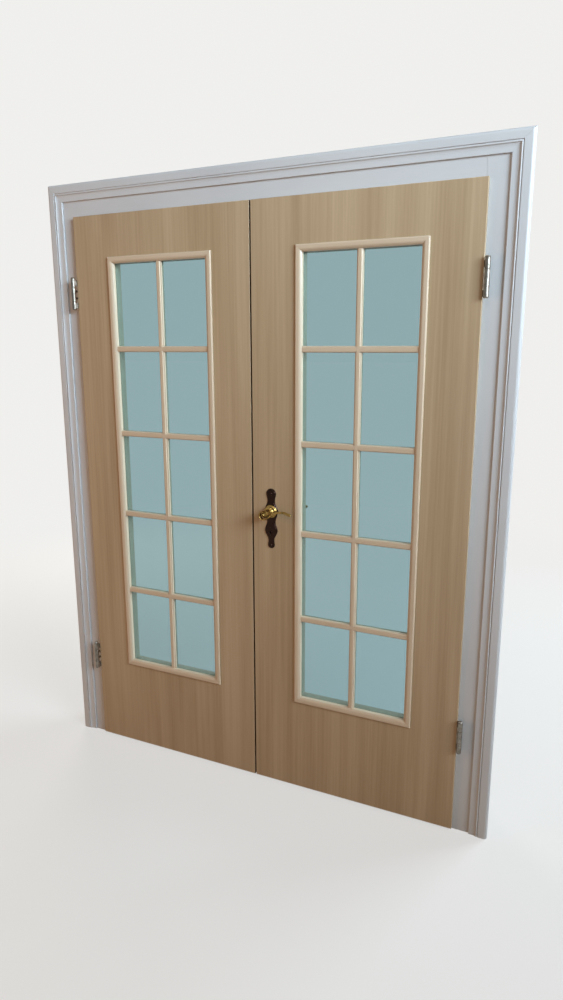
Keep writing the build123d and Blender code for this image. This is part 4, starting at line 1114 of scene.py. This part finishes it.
# The plate screws: turned steel wood screws with slotted domed heads, coloured like the plates and
# driven by hand, so that their slots stand at odd angles.
screw_blank = turned_mesh(
    (
        (0.0, -0.00225), (0.0012, -0.00218), (0.0024, -0.00185), (0.0034, -0.00128),
        (0.0042, -0.00055), (0.0045, -0.0001), (0.0045, 0.00005), (0.0022, 0.00015),
        (0.0020, 0.0006), (0.0020, 0.0138), (0.0, 0.016),
    ),
    28,
)


def block(half_x, half_z, low, high):
    """A plain block between two heights."""
    corners = [(-half_x, -half_z), (-half_x, half_z), (half_x, half_z), (half_x, -half_z)]
    return stacked([(corners, low), (corners, high)])


slot_cut = block(0.006, 0.00045, 0.0010, 0.005)
slot_cut.transform(Matrix.Rotation(math.radians(-90.0), 4, "X"))
slot_cut = turned_out(slot_cut)
slot_low = min(vertex.co.z for vertex in slot_cut.vertices)
slot_cut.transform(Matrix.Translation((0, 0, -0.005 - slot_low)))
screw_mesh = turned_out(carved(screw_blank, ("DIFFERENCE", slot_cut)), math.radians(50.0))
plate_thick = 0.0042
screw_places = []
spindle_x, _, spindle_z = spindle_place
for rise, turns in ((0.060, (0.5, 1.9)), (-0.117, (2.6, 0.9))):
    for y, way, turn in zip((leaf_front - plate_thick, leaf_back + plate_thick), (1, -1), turns):
        screw_places.append(((spindle_x, y, spindle_z + rise), (0, way, 0), turn))
screws = driven(screw_places, screw_mesh, bronze)
fit("plate_screws_domed", screws, None, "active_leaf", "dark_bronze", "plate_screws")

# The levers: cast brass, polished and gone golden brown. A turned hub with beads and grooves
# carries a flat scroll that curls round it and thins into a waved blade. Each is pinned on one end
# of the square spindle, and the back one is the same casting reversed.
# The hollow inside the curl is darkened partly as painted shade.
brass = metal("lever_brass", (0.62, 0.41, 0.13), (0.045, 0.022, 0.007), 0.10, 1.0, 110.0)
hub_profile = (
    (0.0, 4.5), (20.4, 4.5), (21.5, 4.8), (22.0, 5.6), (21.7, 6.5), (20.8, 7.1), (20.3, 7.4),
    (20.5, 7.9), (20.8, 8.8), (20.4, 10.0), (19.3, 11.1), (17.7, 11.9), (15.8, 12.4),
    (14.1, 12.9), (13.4, 13.8), (13.7, 14.8), (14.9, 15.5), (16.6, 16.0), (17.6, 16.9),
    (18.0, 18.0), (17.9, 19.3), (17.3, 20.3), (16.2, 20.9), (15.7, 21.2), (16.0, 21.7),
    (16.1, 22.6), (15.5, 23.5), (14.2, 24.2), (12.9, 24.7), (12.0, 26.0), (11.5, 30.0),
    (11.3, 36.0), (11.4, 42.0), (11.8, 46.0), (12.0, 49.4), (11.7, 50.8), (11.1, 51.5),
    (10.4, 51.4), (10.0, 50.4), (9.6, 48.0), (8.6, 45.6), (6.5, 44.2), (3.5, 43.6), (0.0, 43.5),
)
lever_points = (
    (-2.0, 5.5), (-9.0, 8.0), (-15.5, 4.0), (-17.0, -4.0), (-14.0, -12.5), (-7.0, -17.5),
    (2.0, -16.5), (13.0, -10.0), (25.0, -1.5), (36.0, 5.5), (47.0, 10.0), (60.0, 12.0),
    (74.0, 10.5), (85.0, 7.0), (94.0, 4.5),
)
lever_depth = 0.051


def smooth_path(points, steps=9):
    """Points on a smooth curve through the given ones, with equal steps between each two."""
    before, after = (
        (2 * near[0] - far[0], 2 * near[1] - far[1])
        for near, far in ((points[0], points[1]), (points[-1], points[-2]))
    )
    ends = [before, *points, after]
    path = []
    for i in range(1, len(ends) - 2):
        for step in range(steps):
            share = step / steps
            path.append(
                tuple(
                    0.5 * (
                        2 * b + (c - a) * share + (2 * a - 5 * b + 4 * c - d) * share ** 2
                        + (3 * b - a - 3 * c + d) * share ** 3
                    )
                    for a, b, c, d in zip(ends[i - 1], ends[i], ends[i + 1], ends[i + 2])
                )
            )
    return path + [points[-1]]


def build_band_tree():
    """Draws a rounded band along a curling path, as high and as deep as each point of it says."""
    tree, given = new_tree(
        "drawn_band", "GeometryNodeTree",
        {"Path": "Geometry", "Sides": "Int", "Squareness": "Float", "Material": "Material"},
        {"Band": "Geometry"},
    )

    def vectors(operation, *values, **scale):
        numbered = dict(enumerate(values))
        return result(tree, "ShaderNodeVectorMath", numbered, operation=operation, **scale)

    def squared(value):
        size = maths(tree, "POWER", maths(tree, "ABSOLUTE", value), given["Squareness"])
        return maths(tree, "MULTIPLY", maths(tree, "SIGN", value), size)

    place = result(tree, "GeometryNodeInputPosition")
    way = result(tree, "GeometryNodeInputTangent")
    path = result(tree, "GeometryNodeMeshToCurve", Mesh=given["Path"])
    circle = result(
        tree, "GeometryNodeCurvePrimitiveCircle", mode="RADIUS", Resolution=given["Sides"],
        Radius=1.0,
    )
    swept = result(
        tree, "GeometryNodeCurveToMesh",
        Curve=stored(tree, stored(tree, path, "centre", place), "way", way),
        Profile_Curve=stored(tree, circle, "around", place), Fill_Caps=True,
    )
    around = add_node(tree, "ShaderNodeSeparateXYZ", {0: read(tree, "around")}).outputs
    inwards = (0.0, 1.0, 0.0)
    side = vectors("CROSS_PRODUCT", read(tree, "way"), inwards)
    height = maths(tree, "MULTIPLY", squared(around["X"]), read(tree, "half_height", "FLOAT"))
    depth = maths(tree, "MULTIPLY", squared(around["Y"]), read(tree, "half_depth", "FLOAT"))
    raised = vectors("SCALE", side, Scale=height)
    deepened = vectors("SCALE", inwards, Scale=depth)
    offset = vectors("ADD", raised, deepened)
    drawn = result(
        tree, "GeometryNodeSetPosition", Geometry=swept,
        Position=vectors("ADD", read(tree, "centre"), offset),
    )
    return end_tree(tree, drawn, given["Material"])


def band_path():
    """The lever's path with its half height and half depth at every point, both ends rounded."""
    line = smooth_path(lever_points)
    lengths = [0.0]
    for (x0, z0), (x1, z1) in zip(line, line[1:]):
        lengths.append(lengths[-1] + math.hypot(x1 - x0, z1 - z0))
    whole = lengths[-1]
    heights, depths = [], []
    for (x, _), length in zip(line, lengths):
        share = length / whole
        if share < 0.35:
            height = 2.3
        elif share < 0.65:
            height = 2.3 + 1.0 * (share - 0.35) / 0.30
        else:
            height = 3.3 + 1.2 * ((share - 0.65) / 0.35) ** 0.8
        past = min(max((x - 15.0) / 30.0, 0.0), 1.0) if share > 0.3 else 0.0
        depth = 6.9 - 2.5 * past * past * (3 - 2 * past)
        from_tip = min((whole - length) / 4.0, 1.0)
        rounding = math.sqrt(max(1 - (1 - from_tip) ** 2, 0.0016))
        heights.append(height * rounding / 1000)
        depths.append(depth * (0.35 + 0.65 * rounding) / 1000)
    mesh = bpy.data.meshes.new("band_path")
    mesh.from_pydata(
        [(x / 1000, 0.0, z / 1000) for x, z in line], [(i, i + 1) for i in range(len(line) - 1)], []
    )
    keep_at_points(mesh, "half_height", heights)
    keep_at_points(mesh, "half_depth", depths)
    return mesh


band = turned_out(grown(build_band_tree(), band_path(), Sides=32, Squareness=0.75, Material=brass))
band.transform(Matrix.Translation((0.0, -lever_depth, 0.0)))
hub = turned_to_front(
    turned_mesh([(radius / 1000, height / 1000) for radius, height in hub_profile], 72)
)
square_hole = block(0.004, 0.004, 0.002, 0.0225)
lever = carved(hub, ("UNION", band), ("DIFFERENCE", square_hole))
lever.transform(Matrix.Translation(spindle_place))
lever = turned_out(lever, math.radians(38.0))
fit("front_lever_casting", lever, brass, "lever_set", "lever_brass", "front_lever")
fit("back_lever_casting", reversed_copy(lever), brass, "lever_set", "lever_brass", "back_lever")
